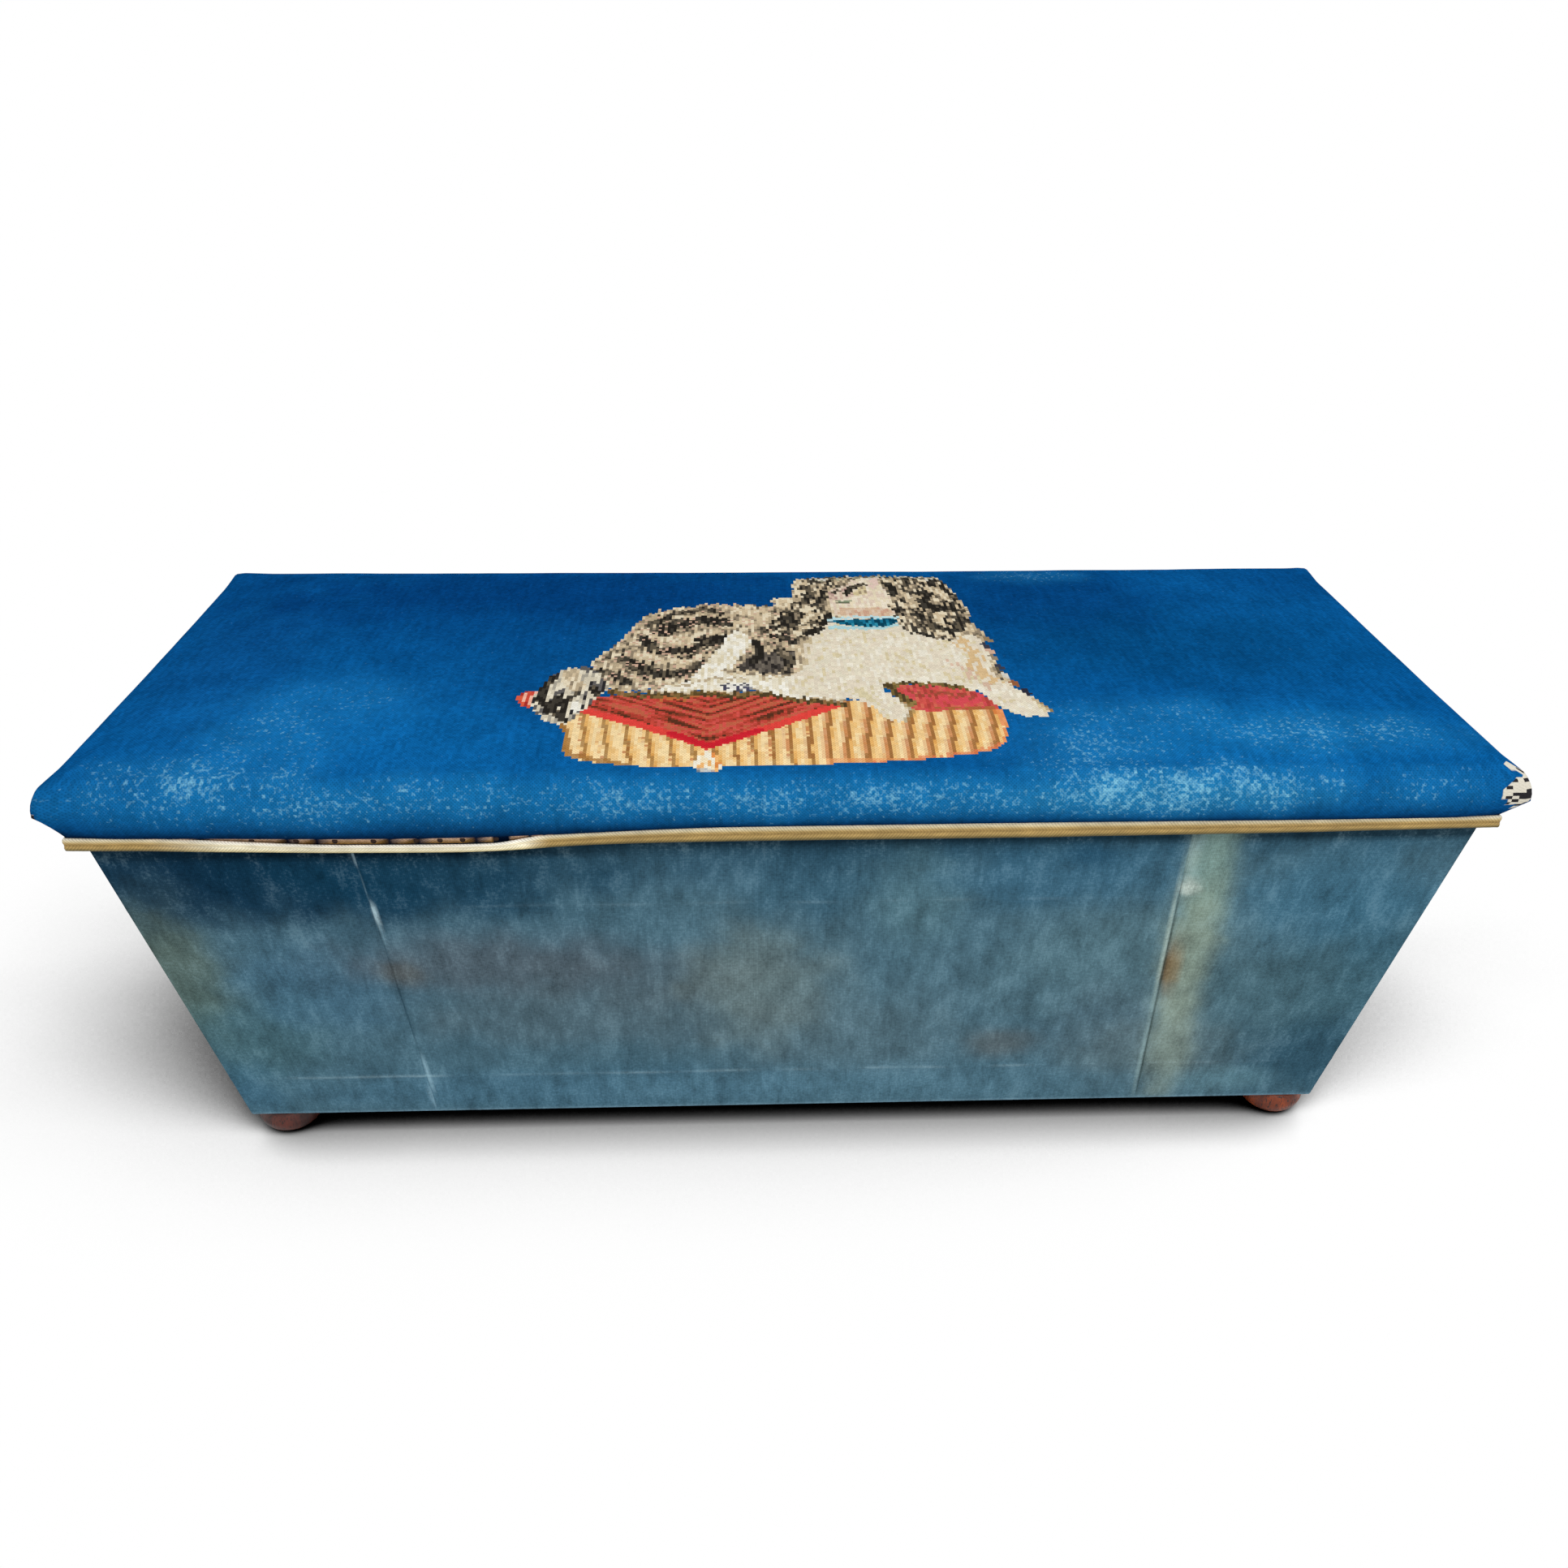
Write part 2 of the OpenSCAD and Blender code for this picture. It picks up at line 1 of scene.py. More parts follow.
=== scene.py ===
import math

import bmesh
import bpy
import numpy as np
from mathutils import Matrix, Vector, noise
from mathutils.bvhtree import BVHTree


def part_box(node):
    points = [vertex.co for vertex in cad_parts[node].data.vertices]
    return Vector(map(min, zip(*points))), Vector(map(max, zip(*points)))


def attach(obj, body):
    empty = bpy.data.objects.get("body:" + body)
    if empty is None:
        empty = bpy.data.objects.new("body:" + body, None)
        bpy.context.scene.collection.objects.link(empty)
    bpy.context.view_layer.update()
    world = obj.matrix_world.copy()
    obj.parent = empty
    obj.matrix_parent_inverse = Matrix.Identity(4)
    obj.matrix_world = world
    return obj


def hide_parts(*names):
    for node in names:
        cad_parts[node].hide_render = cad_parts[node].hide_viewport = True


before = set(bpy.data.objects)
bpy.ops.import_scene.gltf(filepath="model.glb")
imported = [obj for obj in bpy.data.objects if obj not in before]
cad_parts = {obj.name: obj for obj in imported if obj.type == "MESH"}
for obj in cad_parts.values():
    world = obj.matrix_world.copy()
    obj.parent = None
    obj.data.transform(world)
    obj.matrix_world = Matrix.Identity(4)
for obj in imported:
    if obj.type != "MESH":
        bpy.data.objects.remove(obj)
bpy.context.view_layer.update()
scene = bpy.context.scene
MM = 0.001

# The view. The camera stands where the photograph was taken, a little above and in front of
# the lid, looking down at it; its place and lens were fitted to the corners of lid and box.
PHOTO_WIDTH = 1932  # px
FOCAL_LENGTH = 1552  # px
CAMERA_PLACE = Vector((-45.2, -1200.2, 1045.0)) * MM
CAMERA_YAW, CAMERA_PITCH, CAMERA_ROLL = 0.0374, 0.5347, 0.0083

camera_data = bpy.data.cameras.new("camera")
camera_data.lens = camera_data.sensor_width * FOCAL_LENGTH / PHOTO_WIDTH
camera = bpy.data.objects.new("camera", camera_data)
camera.matrix_world = (Matrix.Translation(CAMERA_PLACE)
                       @ Matrix.Rotation(-CAMERA_YAW, 4, "Z")
                       @ Matrix.Rotation(math.pi / 2 - CAMERA_PITCH, 4, "X")
                       @ Matrix.Rotation(CAMERA_ROLL, 4, "Z"))
scene.collection.objects.link(camera)
scene.camera = camera
scene.view_settings.view_transform = "Standard"


def colour(code):
    """The linear colour of an sRGB hex value."""
    parts = [int(code[k:k + 2], 16) / 255 for k in (1, 3, 5)]
    return [c / 12.92 if c <= 0.04045 else ((c + 0.055) / 1.055) ** 2.4 for c in parts] + [1.0]


def rgb(code):
    return np.array(colour(code)[:3])


def add(tree, kind, inputs=None, **settings):
    """Adds a shader node; inputs holds values, or other nodes' sockets to link from."""
    node = tree.nodes.new("ShaderNode" + kind)
    for name, value in settings.items():
        setattr(node, name, value)
    for key, value in (inputs or {}).items():
        if isinstance(value, bpy.types.NodeSocket):
            tree.links.new(value, node.inputs[key])
        else:
            node.inputs[key].default_value = value
    return node


def ranged(tree, value, low, high, to_low=0.0, to_high=1.0):
    """A value's place between two levels, held inside them."""
    return add(tree, "MapRange", {"Value": value, "From Min": low, "From Max": high,
                                  "To Min": to_low, "To Max": to_high}).outputs[0]


def calc(tree, operation, *values):
    return add(tree, "Math", dict(enumerate(values)), operation=operation).outputs[0]


def merged(tree, share, first, second):
    return add(tree, "Mix", {"Factor": share, 2: first, 3: second}).outputs[0]


def blend(tree, share, first, second):
    return add(tree, "Mix", {"Factor": share, "A": first, "B": second},
               data_type="RGBA").outputs["Result"]


def scaled(tree, vector, scale):
    return add(tree, "VectorMath", {0: vector, "Scale": scale}, operation="SCALE").outputs[0]


def drawn_out(tree, place, scale):
    return add(tree, "Mapping", {"Vector": place, "Scale": scale}).outputs[0]


def clouds(tree, place, size, detail=2.0, roughness=0.5):
    """Noise from 0 to 1 with features of a given size, in metres."""
    return add(tree, "TexNoise", {"Vector": place, "Scale": 1 / size, "Detail": detail,
                                  "Roughness": roughness}).outputs["Fac"]


def finish_shader(tree, shader, tint, height, strength, distance, roughness=None):
    """Gives the shader its colour and its fine relief, and a roughness where it varies."""
    tree.links.new(tint, shader.inputs["Base Color"])
    if roughness:
        tree.links.new(roughness, shader.inputs["Roughness"])
    bump = add(tree, "Bump", {"Height": height, "Strength": strength, "Distance": distance})
    tree.links.new(bump.outputs[0], shader.inputs["Normal"])


# The studio: a pale floor that keeps the soft shadow under the box, an even white surround,
# and one large soft lamp above the front left.
FLOOR_SIZE = 14.0
SURROUND_LEVEL = 0.72
LAMP_POWER = 46.0
LAMP_SIZE = 2.6
LAMP_PLACE = Vector((0.8, -1.4, 2.9))
SHADOW_REACH, CONTACT_REACH = 0.7, 0.12
SHADOW_LEAN = (0.54, -0.5, 0.68)  # the shadow lies to the left of the box
END_LEAN = (0.9, -0.35, 0.25)  # the darker patches off the two ends
SHADOW_SAMPLES = 32

world = bpy.data.worlds.new("surround")
scene.world = world
world.use_nodes = True
surround = world.node_tree.nodes["Background"]
surround.inputs["Color"].default_value = colour("#ffffff")


def seen_directly(tree):
    """1 for the rays that show the background: from the camera, off metal, through glass."""
    ray = add(tree, "LightPath")
    seen = ray.outputs["Is Camera Ray"]
    for kind in ("Is Glossy Ray", "Is Transmission Ray"):
        seen = calc(tree, "MAXIMUM", seen, ray.outputs[kind])
    return seen


level = add(world.node_tree, "MapRange", {"Value": seen_directly(world.node_tree),
                                          "To Min": SURROUND_LEVEL})
world.node_tree.links.new(level.outputs[0], surround.inputs["Strength"])

lamp_data = bpy.data.lights.new("soft_lamp", "AREA")
lamp_data.energy = LAMP_POWER
lamp_data.size = LAMP_SIZE
lamp = bpy.data.objects.new("soft_lamp", lamp_data)
lamp.matrix_world = (Matrix.Translation(LAMP_PLACE)
                     @ (-LAMP_PLACE).to_track_quat("-Z", "Y").to_matrix().to_4x4())
scene.collection.objects.link(lamp)


def material(name, **constants):
    """A new material and its shader, with the shader's own sockets set to constants."""
    made = bpy.data.materials.new(name)
    made.use_nodes = True
    shader = made.node_tree.nodes["Principled BSDF"]
    for key, value in constants.items():
        shader.inputs[key.replace("_", " ")].default_value = value
    return made, made.node_tree, shader


def finish_mesh(name, bm, *materials):
    """Makes an object at the origin from a bmesh."""
    mesh = bpy.data.meshes.new(name)
    bm.to_mesh(mesh)
    bm.free()
    for one in materials:
        mesh.materials.append(one)
    mesh.shade_smooth()
    made = bpy.data.objects.new(name, mesh)
    scene.collection.objects.link(made)
    return made


def white_floor():
    """White paint. What the camera sees of it is an even white, down to the shadow that the
    object keeps round its foot; all other light meets a plain matt white."""
    made, tree, shader = material("painted_floor", Base_Color=colour("#fbfbfa"), Roughness=0.9)
    lean = add(tree, "CombineXYZ", dict(zip("XYZ", SHADOW_LEAN)))
    wide = add(tree, "AmbientOcclusion", {"Distance": SHADOW_REACH, "Normal": lean.outputs[0]},
               samples=SHADOW_SAMPLES // 2)
    near = add(tree, "AmbientOcclusion", {"Distance": CONTACT_REACH}, samples=SHADOW_SAMPLES)
    wide = ranged(tree, wide.outputs["AO"], 0.4, 0.82, 0.04)
    near = ranged(tree, near.outputs["AO"], 0.26, 0.72, 0.003)
    level = calc(tree, "MULTIPLY", wide, near)
    for side in (1, -1):
        facing = add(tree, "CombineXYZ", {"X": END_LEAN[0] * side, "Y": END_LEAN[1],
                                             "Z": END_LEAN[2]}).outputs[0]
        end = add(tree, "AmbientOcclusion", {"Distance": SHADOW_REACH, "Normal": facing})
        end = ranged(tree, end.outputs["AO"], 0.45, 0.66, 0.08)
        level = calc(tree, "MULTIPLY", level, end)
    glow = add(tree, "Emission", {"Strength": level})
    seen = add(tree, "MixShader", {0: seen_directly(tree), 1: shader.outputs[0],
                                   2: glow.outputs[0]})
    tree.links.new(seen.outputs[0], tree.nodes["Material Output"].inputs["Surface"])
    return made


floor_bm = bmesh.new()
bmesh.ops.create_grid(floor_bm, x_segments=1, y_segments=1, size=FLOOR_SIZE / 2)
floor = finish_mesh("floor", floor_bm, white_floor())

# The box's boards: sawn and planed pine, an inch thick before planing, butted at the corners
# and nailed. They show along the top edge when the lid is open, and underneath.
RING_SPACING = 7 * MM
GRAIN_STRETCH = 14
PORE_SIZE = 0.7 * MM


def pine(name, along):
    """Old pine with its grain along an axis (0, 1 or 2): pale wood with darker growth lines."""
    made, tree, shader = material(name, Roughness=0.58, Specular_IOR_Level=0.35)
    place = add(tree, "TexCoord").outputs["Object"]
    stretch = [1.0, 1.0, 1.0]
    stretch[along] = 1 / GRAIN_STRETCH
    drawn = drawn_out(tree, place, stretch)
    growth = add(tree, "TexNoise", {"Vector": drawn, "Scale": 1 / (12 * RING_SPACING),
                                    "Detail": 2.0, "Roughness": 0.4})
    lines = add(tree, "Math", {0: growth.outputs["Fac"], 1: 24.0}, operation="MULTIPLY")
    lines = add(tree, "Math", {0: lines.outputs[0], 1: 1.0}, operation="PINGPONG")
    fibre = clouds(tree, drawn, 2 * PORE_SIZE, 3.0)
    mixed = merged(tree, 0.35, lines.outputs[0], fibre)
    wood = add(tree, "ValToRGB", {"Fac": mixed})
    ramp = wood.color_ramp
    ramp.elements[0].position, ramp.elements[0].color = 0.05, colour("#d3a76c")
    ramp.elements[1].position, ramp.elements[1].color = 0.95, colour("#93622f")
    ramp.elements.new(0.55).color = colour("#c0894d")
    age = clouds(tree, place, 0.09, 3.0)
    grey = add(tree, "Mix", {"Factor": age, "A": wood.outputs[0],
                             "B": colour("#a07c52")}, data_type="RGBA", blend_type="MULTIPLY")
    finish_shader(tree, shader, grey.outputs["Result"], mixed, 0.35, 0.15 * MM)
    return made


def finish_nodes(finish, slot, *names):
    """Gives CAD nodes that stay a finish."""
    for name in names:
        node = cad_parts[name]
        if not node.material_slots:
            node.data.materials.append(finish)
        node.material_slots[0].material = finish


pine_long = pine("pine_long_grain", 0)
pine_end = pine("pine_cross_grain", 1)
pine_upright = pine("pine_upright_grain", 2)
finish_nodes(pine_long, "pine", "front_board", "back_board", "bottom_board")
finish_nodes(pine_end, "pine", "left_end_board", "right_end_board")

# Glue blocks: three-cornered strips of pine, rubbed into the corners with hot glue.
finish_nodes(pine_upright, "pine", "corner_blocks")

# Bun feet: turned mahogany, French polished, each glued into the bottom board by its spigot.
# The left ones are painted shade, a darker copy of the mahogany; the right ones painted light.
FOOT_SEGMENTS = 64
BELLY_RADIUS, NECK_RADIUS = 35 * MM, 15 * MM
BELLY_HEIGHT, NECK_HEIGHT, FOOT_HEIGHT = 20 * MM, 2 * MM, 35 * MM
FILLET_WIDTH = 1.2 * MM
SPIGOT_RADIUS, SPIGOT_LENGTH = 6 * MM, 14 * MM
ARC_STEPS = 10


def mahogany(name, light, dark):
    """Polished mahogany: red-brown, with short dark pores and a clear shine on top."""
    made, tree, shader = material(name, Roughness=0.5, Specular_IOR_Level=0.3,
                                  Coat_Weight=0.22, Coat_Roughness=0.2)
    place = add(tree, "TexCoord").outputs["Object"]
    drawn = drawn_out(tree, place, (1, 1, 0.12))
    figure = add(tree, "TexNoise", {"Vector": drawn, "Scale": 1 / 0.016, "Detail": 4.0,
                                    "Distortion": 0.8})
    pores = add(tree, "TexNoise", {"Vector": drawn, "Scale": 1 / (1.6 * MM), "Detail": 2.0})
    tone = ranged(tree, figure.outputs["Fac"], 0.35, 0.68)
    wood = add(tree, "Mix", {"Factor": tone, "A": colour(dark), "B": colour(light)},
               data_type="RGBA")
    pit = ranged(tree, pores.outputs["Fac"], 0.34, 0.46)
    pored = add(tree, "Mix", {"Factor": pit, "A": colour("#1d0d08"),
                              "B": wood.outputs["Result"]}, data_type="RGBA")
    finish_shader(tree, shader, pored.outputs["Result"], pit, 0.2, 0.1 * MM)
    return made


def foot_profile():
    """Half outline of a bun foot from the floor up: rounded belly, shoulder, bead and neck."""
    under = BELLY_HEIGHT
    over = FOOT_HEIGHT - NECK_HEIGHT - BELLY_HEIGHT
    outline = [(0.0, 0.0)]
    for k in range(ARC_STEPS + 1):
        turn = math.pi / 2 * k / ARC_STEPS
        outline.append((BELLY_RADIUS - under + under * math.sin(turn),
                        under - under * math.cos(turn)))
    for k in range(1, ARC_STEPS + 1):
        turn = math.pi / 2 * k / ARC_STEPS
        outline.append((BELLY_RADIUS - over + over * math.cos(turn) - FILLET_WIDTH,
                        BELLY_HEIGHT + over * math.sin(turn)))
    outline += [(NECK_RADIUS, FOOT_HEIGHT - NECK_HEIGHT), (NECK_RADIUS, FOOT_HEIGHT),
                (SPIGOT_RADIUS, FOOT_HEIGHT),
                (SPIGOT_RADIUS, FOOT_HEIGHT + SPIGOT_LENGTH), (0.0, FOOT_HEIGHT + SPIGOT_LENGTH)]
    return outline


def turned(name, outline, centre, finish):
    """A turned piece: an outline spun once round an upright axis."""
    bm = bmesh.new()
    corners = [bm.verts.new((radius, 0, height)) for radius, height in outline]
    edges = [bm.edges.new(pair) for pair in zip(corners, corners[1:])]
    bmesh.ops.spin(bm, geom=corners + edges, cent=(0, 0, 0), axis=(0, 0, 1),
                   angle=math.tau, steps=FOOT_SEGMENTS, use_merge=True)
    bmesh.ops.remove_doubles(bm, verts=bm.verts, dist=0.01 * MM)
    bmesh.ops.recalc_face_normals(bm, faces=bm.faces)
    bmesh.ops.translate(bm, verts=bm.verts, vec=centre)
    made = finish_mesh(name, bm, finish)
    made.data.set_sharp_from_angle(angle=math.radians(40))
    return made


# Painted shade on the left feet and painted light on the right ones: two copies of one mahogany.
shade_painted_mahogany = mahogany("mahogany_dark", "#5f271a", "#32100a")
light_painted_mahogany = mahogany("mahogany_red", "#8c3a10", "#5a2006")
for side, finish in (("left", shade_painted_mahogany), ("right", light_painted_mahogany)):
    for end in ("front", "back"):
        low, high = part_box(f"foot_{end}_{side}")
        middle = (low + high) / 2
        foot = turned(f"bun_foot_{end}_{side}", foot_profile(), (middle.x, middle.y, 0), finish)
        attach(foot, "box")
        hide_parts(f"foot_{end}_{side}")

# The cloth on the box: a fulled wool cloth, dyed with indigo and now faded, stained and rubbed.
# It is drawn tight over the boards in six pieces, round the corners, and its lower edge is
# turned in under the boards and tacked. Two upright seams join the front's three pieces.
box_low, box_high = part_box("back_cloth")
BOX_TOP, HEM_LEVEL = box_high.z, box_low.z
HALF_LENGTH, HALF_DEPTH = box_high.x, box_high.y
LEAN_IN, BOARD_HEIGHT = 52 * MM, 390 * MM
LEAN = math.atan2(LEAN_IN, BOARD_HEIGHT)
SLANT = (BOX_TOP - HEM_LEVEL) / math.cos(LEAN)
HEM_WIDTH = 12 * MM
CLOTH_THICK = 1.1 * MM
EDGE_RADIUS = 2 * MM
CORNER_RADIUS = 1.6 * MM
SEAM_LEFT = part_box("front_cloth_middle")[0].x
SEAM_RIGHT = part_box("front_cloth_right")[0].x
SEAM_LEAN = (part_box("front_cloth_middle")[1].x - SEAM_RIGHT) / SLANT
SEAM_DIP, SEAM_HALF = 0.9 * MM, 1.4 * MM
FOLD_DOWN = SLANT - 60 * MM
FAINT_FOLD_DOWN = 88 * MM
FOLD_RISE, FOLD_HALF = 0.5 * MM, 2.2 * MM
RIPPLE, RIPPLE_FADE = 0.5 * MM, 30 * MM
RIPPLE_SIZE, ALLOWANCE_IN, ALLOWANCE_HALF = 0.11, 7 * MM, 4 * MM
THREAD = 1.7 * MM  # the real threads are 1 mm apart, and drawn coarser so that they show

# Washes on the front: place along it and below its top edge, half widths (mm), strength, colour
FRONT_DYE = "#4c6e7e"
FRONT_WASHES = [
    (-500, 45, 210, 62, 0.95, "#072c45"), (-330, 50, 150, 46, 0.8, "#143f58"),
    (-60, 22, 240, 30, 0.75, "#26485c"), (330, 18, 330, 18, 0.55, "#254a60"),
    (-600, 175, 45, 75, 0.7, "#5f6c5c"), (-560, 270, 80, 70, 0.4, "#46696a"),
    (-470, 200, 75, 55, 0.5, "#45708b"), (-300, 165, 130, 38, 0.6, "#595f66"),
    (-140, 190, 120, 40, 0.4, "#5b646a"), (-200, 245, 170, 45, 0.45, "#5d6c72"),
    (-30, 205, 70, 80, 0.55, "#75837e"), (-90, 255, 35, 30, 0.4, "#3f5a68"),
    (60, 280, 120, 60, 0.35, "#6a7f86"), (350, 180, 120, 90, 0.4, "#607e84"),
    (20, 75, 60, 38, 0.5, "#2b566e"), (-70, 50, 60, 25, 0.3, "#4b7288"),
    (120, 80, 40, 60, 0.35, "#5f8288"), (260, 55, 120, 40, 0.6, "#33637f"),
    (280, 35, 25, 14, 0.5, "#1f4964"), (150, 215, 110, 60, 0.3, "#5c7b88"),
    (225, 300, 34, 20, 0.45, "#6c6a64"), (330, 270, 60, 60, 0.35, "#5d7380"),
    (400, 320, 90, 55, 0.5, "#67787a"), (590, 200, 60, 90, 0.45, "#2f5a6c"),
    (-250, 360, 260, 30, 0.5, "#4d7890"), (100, 362, 240, 26, 0.45, "#5d8598"),
    (-590, 350, 45, 40, 0.5, "#3f6c86"),
    (530, 90, 90, 60, 0.55, "#376a85"), (510, 235, 80, 70, 0.45, "#47666f"),
    (560, 330, 70, 55, 0.7, "#294c5f"), (470, 365, 60, 20, 0.4, "#6d96a2")]
# Marks along the two seams: as above, but the place is counted from the leaning seam
LEFT_MARKS = [
    (2, 98, 2.0, 13, 0.85, "#b4d0da"), (3, 124, 1.4, 16, 0.5, "#7c9dac"),
    (-1, 26, 1.2, 8, 0.5, "#9ab4c0"), (0, 62, 0.9, 18, 0.35, "#7c9dac"), (1, 215, 1.3, 75, 0.65,
                                                                          "#33505f"),
    (3, 330, 2.4, 24, 0.6, "#9cc0d0"), (-1, 372, 1.6, 18, 0.6, "#8fb4c6"),
    (10, 178, 22, 16, 0.6, "#59554d")]
RIGHT_MARKS = [
    (26, 60, 22, 70, 0.8, "#7f9a90"), (24, 165, 24, 90, 0.75, "#8b9a88"),
    (24, 300, 22, 90, 0.7, "#8c9c90"), (8, 185, 9, 34, 0.8, "#8a7048"),
    (2, 185, 3, 22, 0.7, "#5d4a34"), (7, 76, 8, 9, 0.9, "#c9d6cd"),
    (4, 40, 5, 34, 0.5, "#9fb4aa"), (-3, 150, 1.6, 70, 0.7, "#a9bdb6"),
    (-3, 320, 1.6, 60, 0.6, "#93aeb0"), (0.5, 180, 1.2, 110, 0.8, "#3d4a45"),
    (0.5, 330, 1.2, 60, 0.8, "#41524f")]
PLAIN_WASHES = [
    (-60, 60, 160, 50, 0.5, "#37647f"), (110, 200, 130, 70, 0.5, "#5b6f76"),
    (-130, 270, 120, 60, 0.5, "#587382"), (0, 362, 700, 24, 0.5, "#5680a0"),
    (330, 120, 160, 60, 0.5, "#3a6681"), (-380, 170, 150, 80, 0.5, "#5d6d70"),
    (480, 280, 110, 70, 0.4, "#496a78"), (-520, 90, 120, 60, 0.5, "#2f5f7d")]
FOLD_PALE = "#9dbac5"

# The braid has slipped down along the front, and hangs loose at its left. A dark line of painted
# shadow lies on the cloth below it. Stops: distance from the front left corner, and the drop
# (mm).
BRAID_X, BRAID_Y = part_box("braid")[1][:2]
BRAID_LENGTH = 4 * (BRAID_X + BRAID_Y)
SAG_FROM, SAG_TO = (60 * MM, 250 * MM), (372 * MM, 430 * MM)
BRAID_DROPS = ([0, 110, 235, 310, 380, 415, 482, 570, 860, 1110, 1290],
               [6.9, 9.0, 11.6, 12.3, 12.3, 9.6, 6.4, 5.2, 5.0, 3.0, 0.0])
FOOT_DROPS = ([0, 110, 200, 280, 370, 422, 482, 570, 860, 1110, 1290],
              [6.5, 8.0, 10.0, 11.2, 10.8, 8.8, 5.8, 2.4, 1.2, 1.4, 0.0])
MARGIN_FOLLOWS = 0.75  # of the foot's drop
END_DROP_REACH = 260  # mm along the left end
# The colour of the painted shadow that the braid casts on the cloth.
BRAID_PAINTED_SHADOW = rgb("#0b1d29")


def eased(at, start, end):
    """Rises smoothly from 0 at start to 1 at end."""
    share = min(max((at - start) / (end - start), 0), 1)
    return share * share * (3 - 2 * share)


def loose(s):
    """How far the braid hangs loose at a distance from its front left corner, from 0 to 1."""
    return eased(s, *SAG_FROM) * (1 - eased(s, *SAG_TO))


def dropped(stops, s):
    """How far the braid, or the roll's foot, has slipped down at a place of the braid's line."""
    past = (BRAID_LENGTH - s) / MM
    if past < END_DROP_REACH:
        return stops[1][0] * MM * (1 - eased(past, 0, END_DROP_REACH))
    return sum(np.interp(s / MM + step, *stops) for step in (-30, -15, 0, 15, 30)) / 5 * MM


def blurred(x, y, size, seed):
    """Smooth noise from -1 to 1 at a place, with features of about the given size."""
    return noise.noise(Vector((x / size, y / size, seed)))


def spaced(length, step, fine, close=()):
    """Places from 0 to length: fine steps at both ends and round the places in close."""
    ends = [0.0] + list(np.cumsum(fine))
    count = max(2, round((length - 2 * ends[-1]) / step))
    middle = [ends[-1] + (length - 2 * ends[-1]) * k / count for k in range(1, count)]
    places = ends + middle + [length - e for e in ends]
    for at in close:
        places = [p for p in places if abs(p - at) > 3 * FOLD_HALF]
        places += [at + k * FOLD_HALF / 2 for k in (-4, -2, -1, 0, 1, 2, 4)]
    return sorted(places)


def lower_edge(down):
    """Inset and height of the cloth at a distance down from the top edge: the leaning face,
    the turn under the boards, and the hem."""
    turn = math.pi / 2 - LEAN
    straight = SLANT - EDGE_RADIUS * math.tan(turn / 2)
    face = min(down, straight)
    bend = min(max((down - straight) / EDGE_RADIUS, 0), turn)
    hem = max(down - straight - EDGE_RADIUS * turn, 0)
    inset = (face * math.sin(LEAN) + hem
             + EDGE_RADIUS * (math.cos(LEAN) - math.cos(LEAN + bend)))
    height = (BOX_TOP - face * math.cos(LEAN)
              - EDGE_RADIUS * (math.sin(LEAN + bend) - math.sin(LEAN)))
    return inset, height


def wrapped(along, half_long, half_wide):
    """A point of a long side's outline, which goes round the corner past its own end."""
    straight = half_long - CORNER_RADIUS
    turn = min(max((abs(along) - straight) / CORNER_RADIUS, 0), math.pi / 2)
    if abs(along) <= straight:
        return Vector((along, -half_wide, 0))
    return Vector((math.copysign(straight + CORNER_RADIUS * math.sin(turn), along),
                   -half_wide + CORNER_RADIUS * (1 - math.cos(turn)), 0))


def washed(base, washes, x, y):
    """The dye's colour at a place, in mm, after the washes are laid over the base."""
    shade = rgb(base) if isinstance(base, str) else base
    for wx, wy, rx, ry, strength, code in washes:
        reach = math.hypot((x - wx) / rx, (y - wy) / ry)
        if reach < 2.2:
            reach += 0.35 * blurred(x, y, 38, wx + wy) + 0.15 * blurred(x, y, 11, wy)
            share = strength / (1 + math.exp(5 * (reach - 1)))
            shade = shade + (rgb(code) - shade) * share
    return shade


def bell(distance, half):
    """1 at no distance, falling away to 0 past a few half widths."""
    return math.exp(-(distance / half) ** 2)


def grid_sheet(name, columns, rows, place, finish):
    """A sheet of cloth from a flat grid. place(column, row) gives a crossing's point and its
    flat place, which becomes the UV map, in metres."""
    bm = bmesh.new()
    bmesh.ops.create_grid(bm, x_segments=len(columns) - 1, y_segments=len(rows) - 1, size=0.5)
    flat = {}
    for k, vert in enumerate(bm.verts):
        vert.co, flat[vert] = place(columns[k % len(columns)], rows[k // len(columns)])
    layer = bm.loops.layers.uv.new("flat")
    for face in bm.faces:
        for loop in face.loops:
            loop[layer].uv = flat[loop.vert]
    bm.normal_update()
    return finish_mesh(name, bm, finish)


def paint(piece, layer, shade):
    """Stores a colour at each point of a piece; shade takes the point's flat place, in mm."""
    mesh = piece.data
    places = {}
    uv = mesh.uv_layers["flat"].data
    for loop in mesh.loops:
        places[loop.vertex_index] = uv[loop.index].uv
    values = np.ones((len(mesh.vertices), 4), np.float32)
    for k in range(len(mesh.vertices)):
        tone = shade(places[k][0] / MM, places[k][1] / MM)
        values[k, :len(tone)] = tone
    made = mesh.color_attributes.new(layer, "FLOAT_COLOR", "POINT")
    made.data.foreach_set("color", values.ravel())


def thicken(piece, thick):
    """Gives a sheet its thickness, inwards from the face that shows."""
    solid = piece.modifiers.new("thickness", "SOLIDIFY")
    solid.thickness, solid.offset = thick, -1


def weave_height(tree, flat, spacing):
    """Height of a plain weave: threads pass over and under each other both ways."""
    split = add(tree, "SeparateXYZ", {0: flat})
    waves = []
    for axis in ("X", "Y"):
        turn = calc(tree, "MULTIPLY", split.outputs[axis], math.tau / spacing / 2)
        waves.append(calc(tree, "SINE", turn))
    crossed = calc(tree, "MULTIPLY", waves[0], waves[1])
    return calc(tree, "ABSOLUTE", crossed)


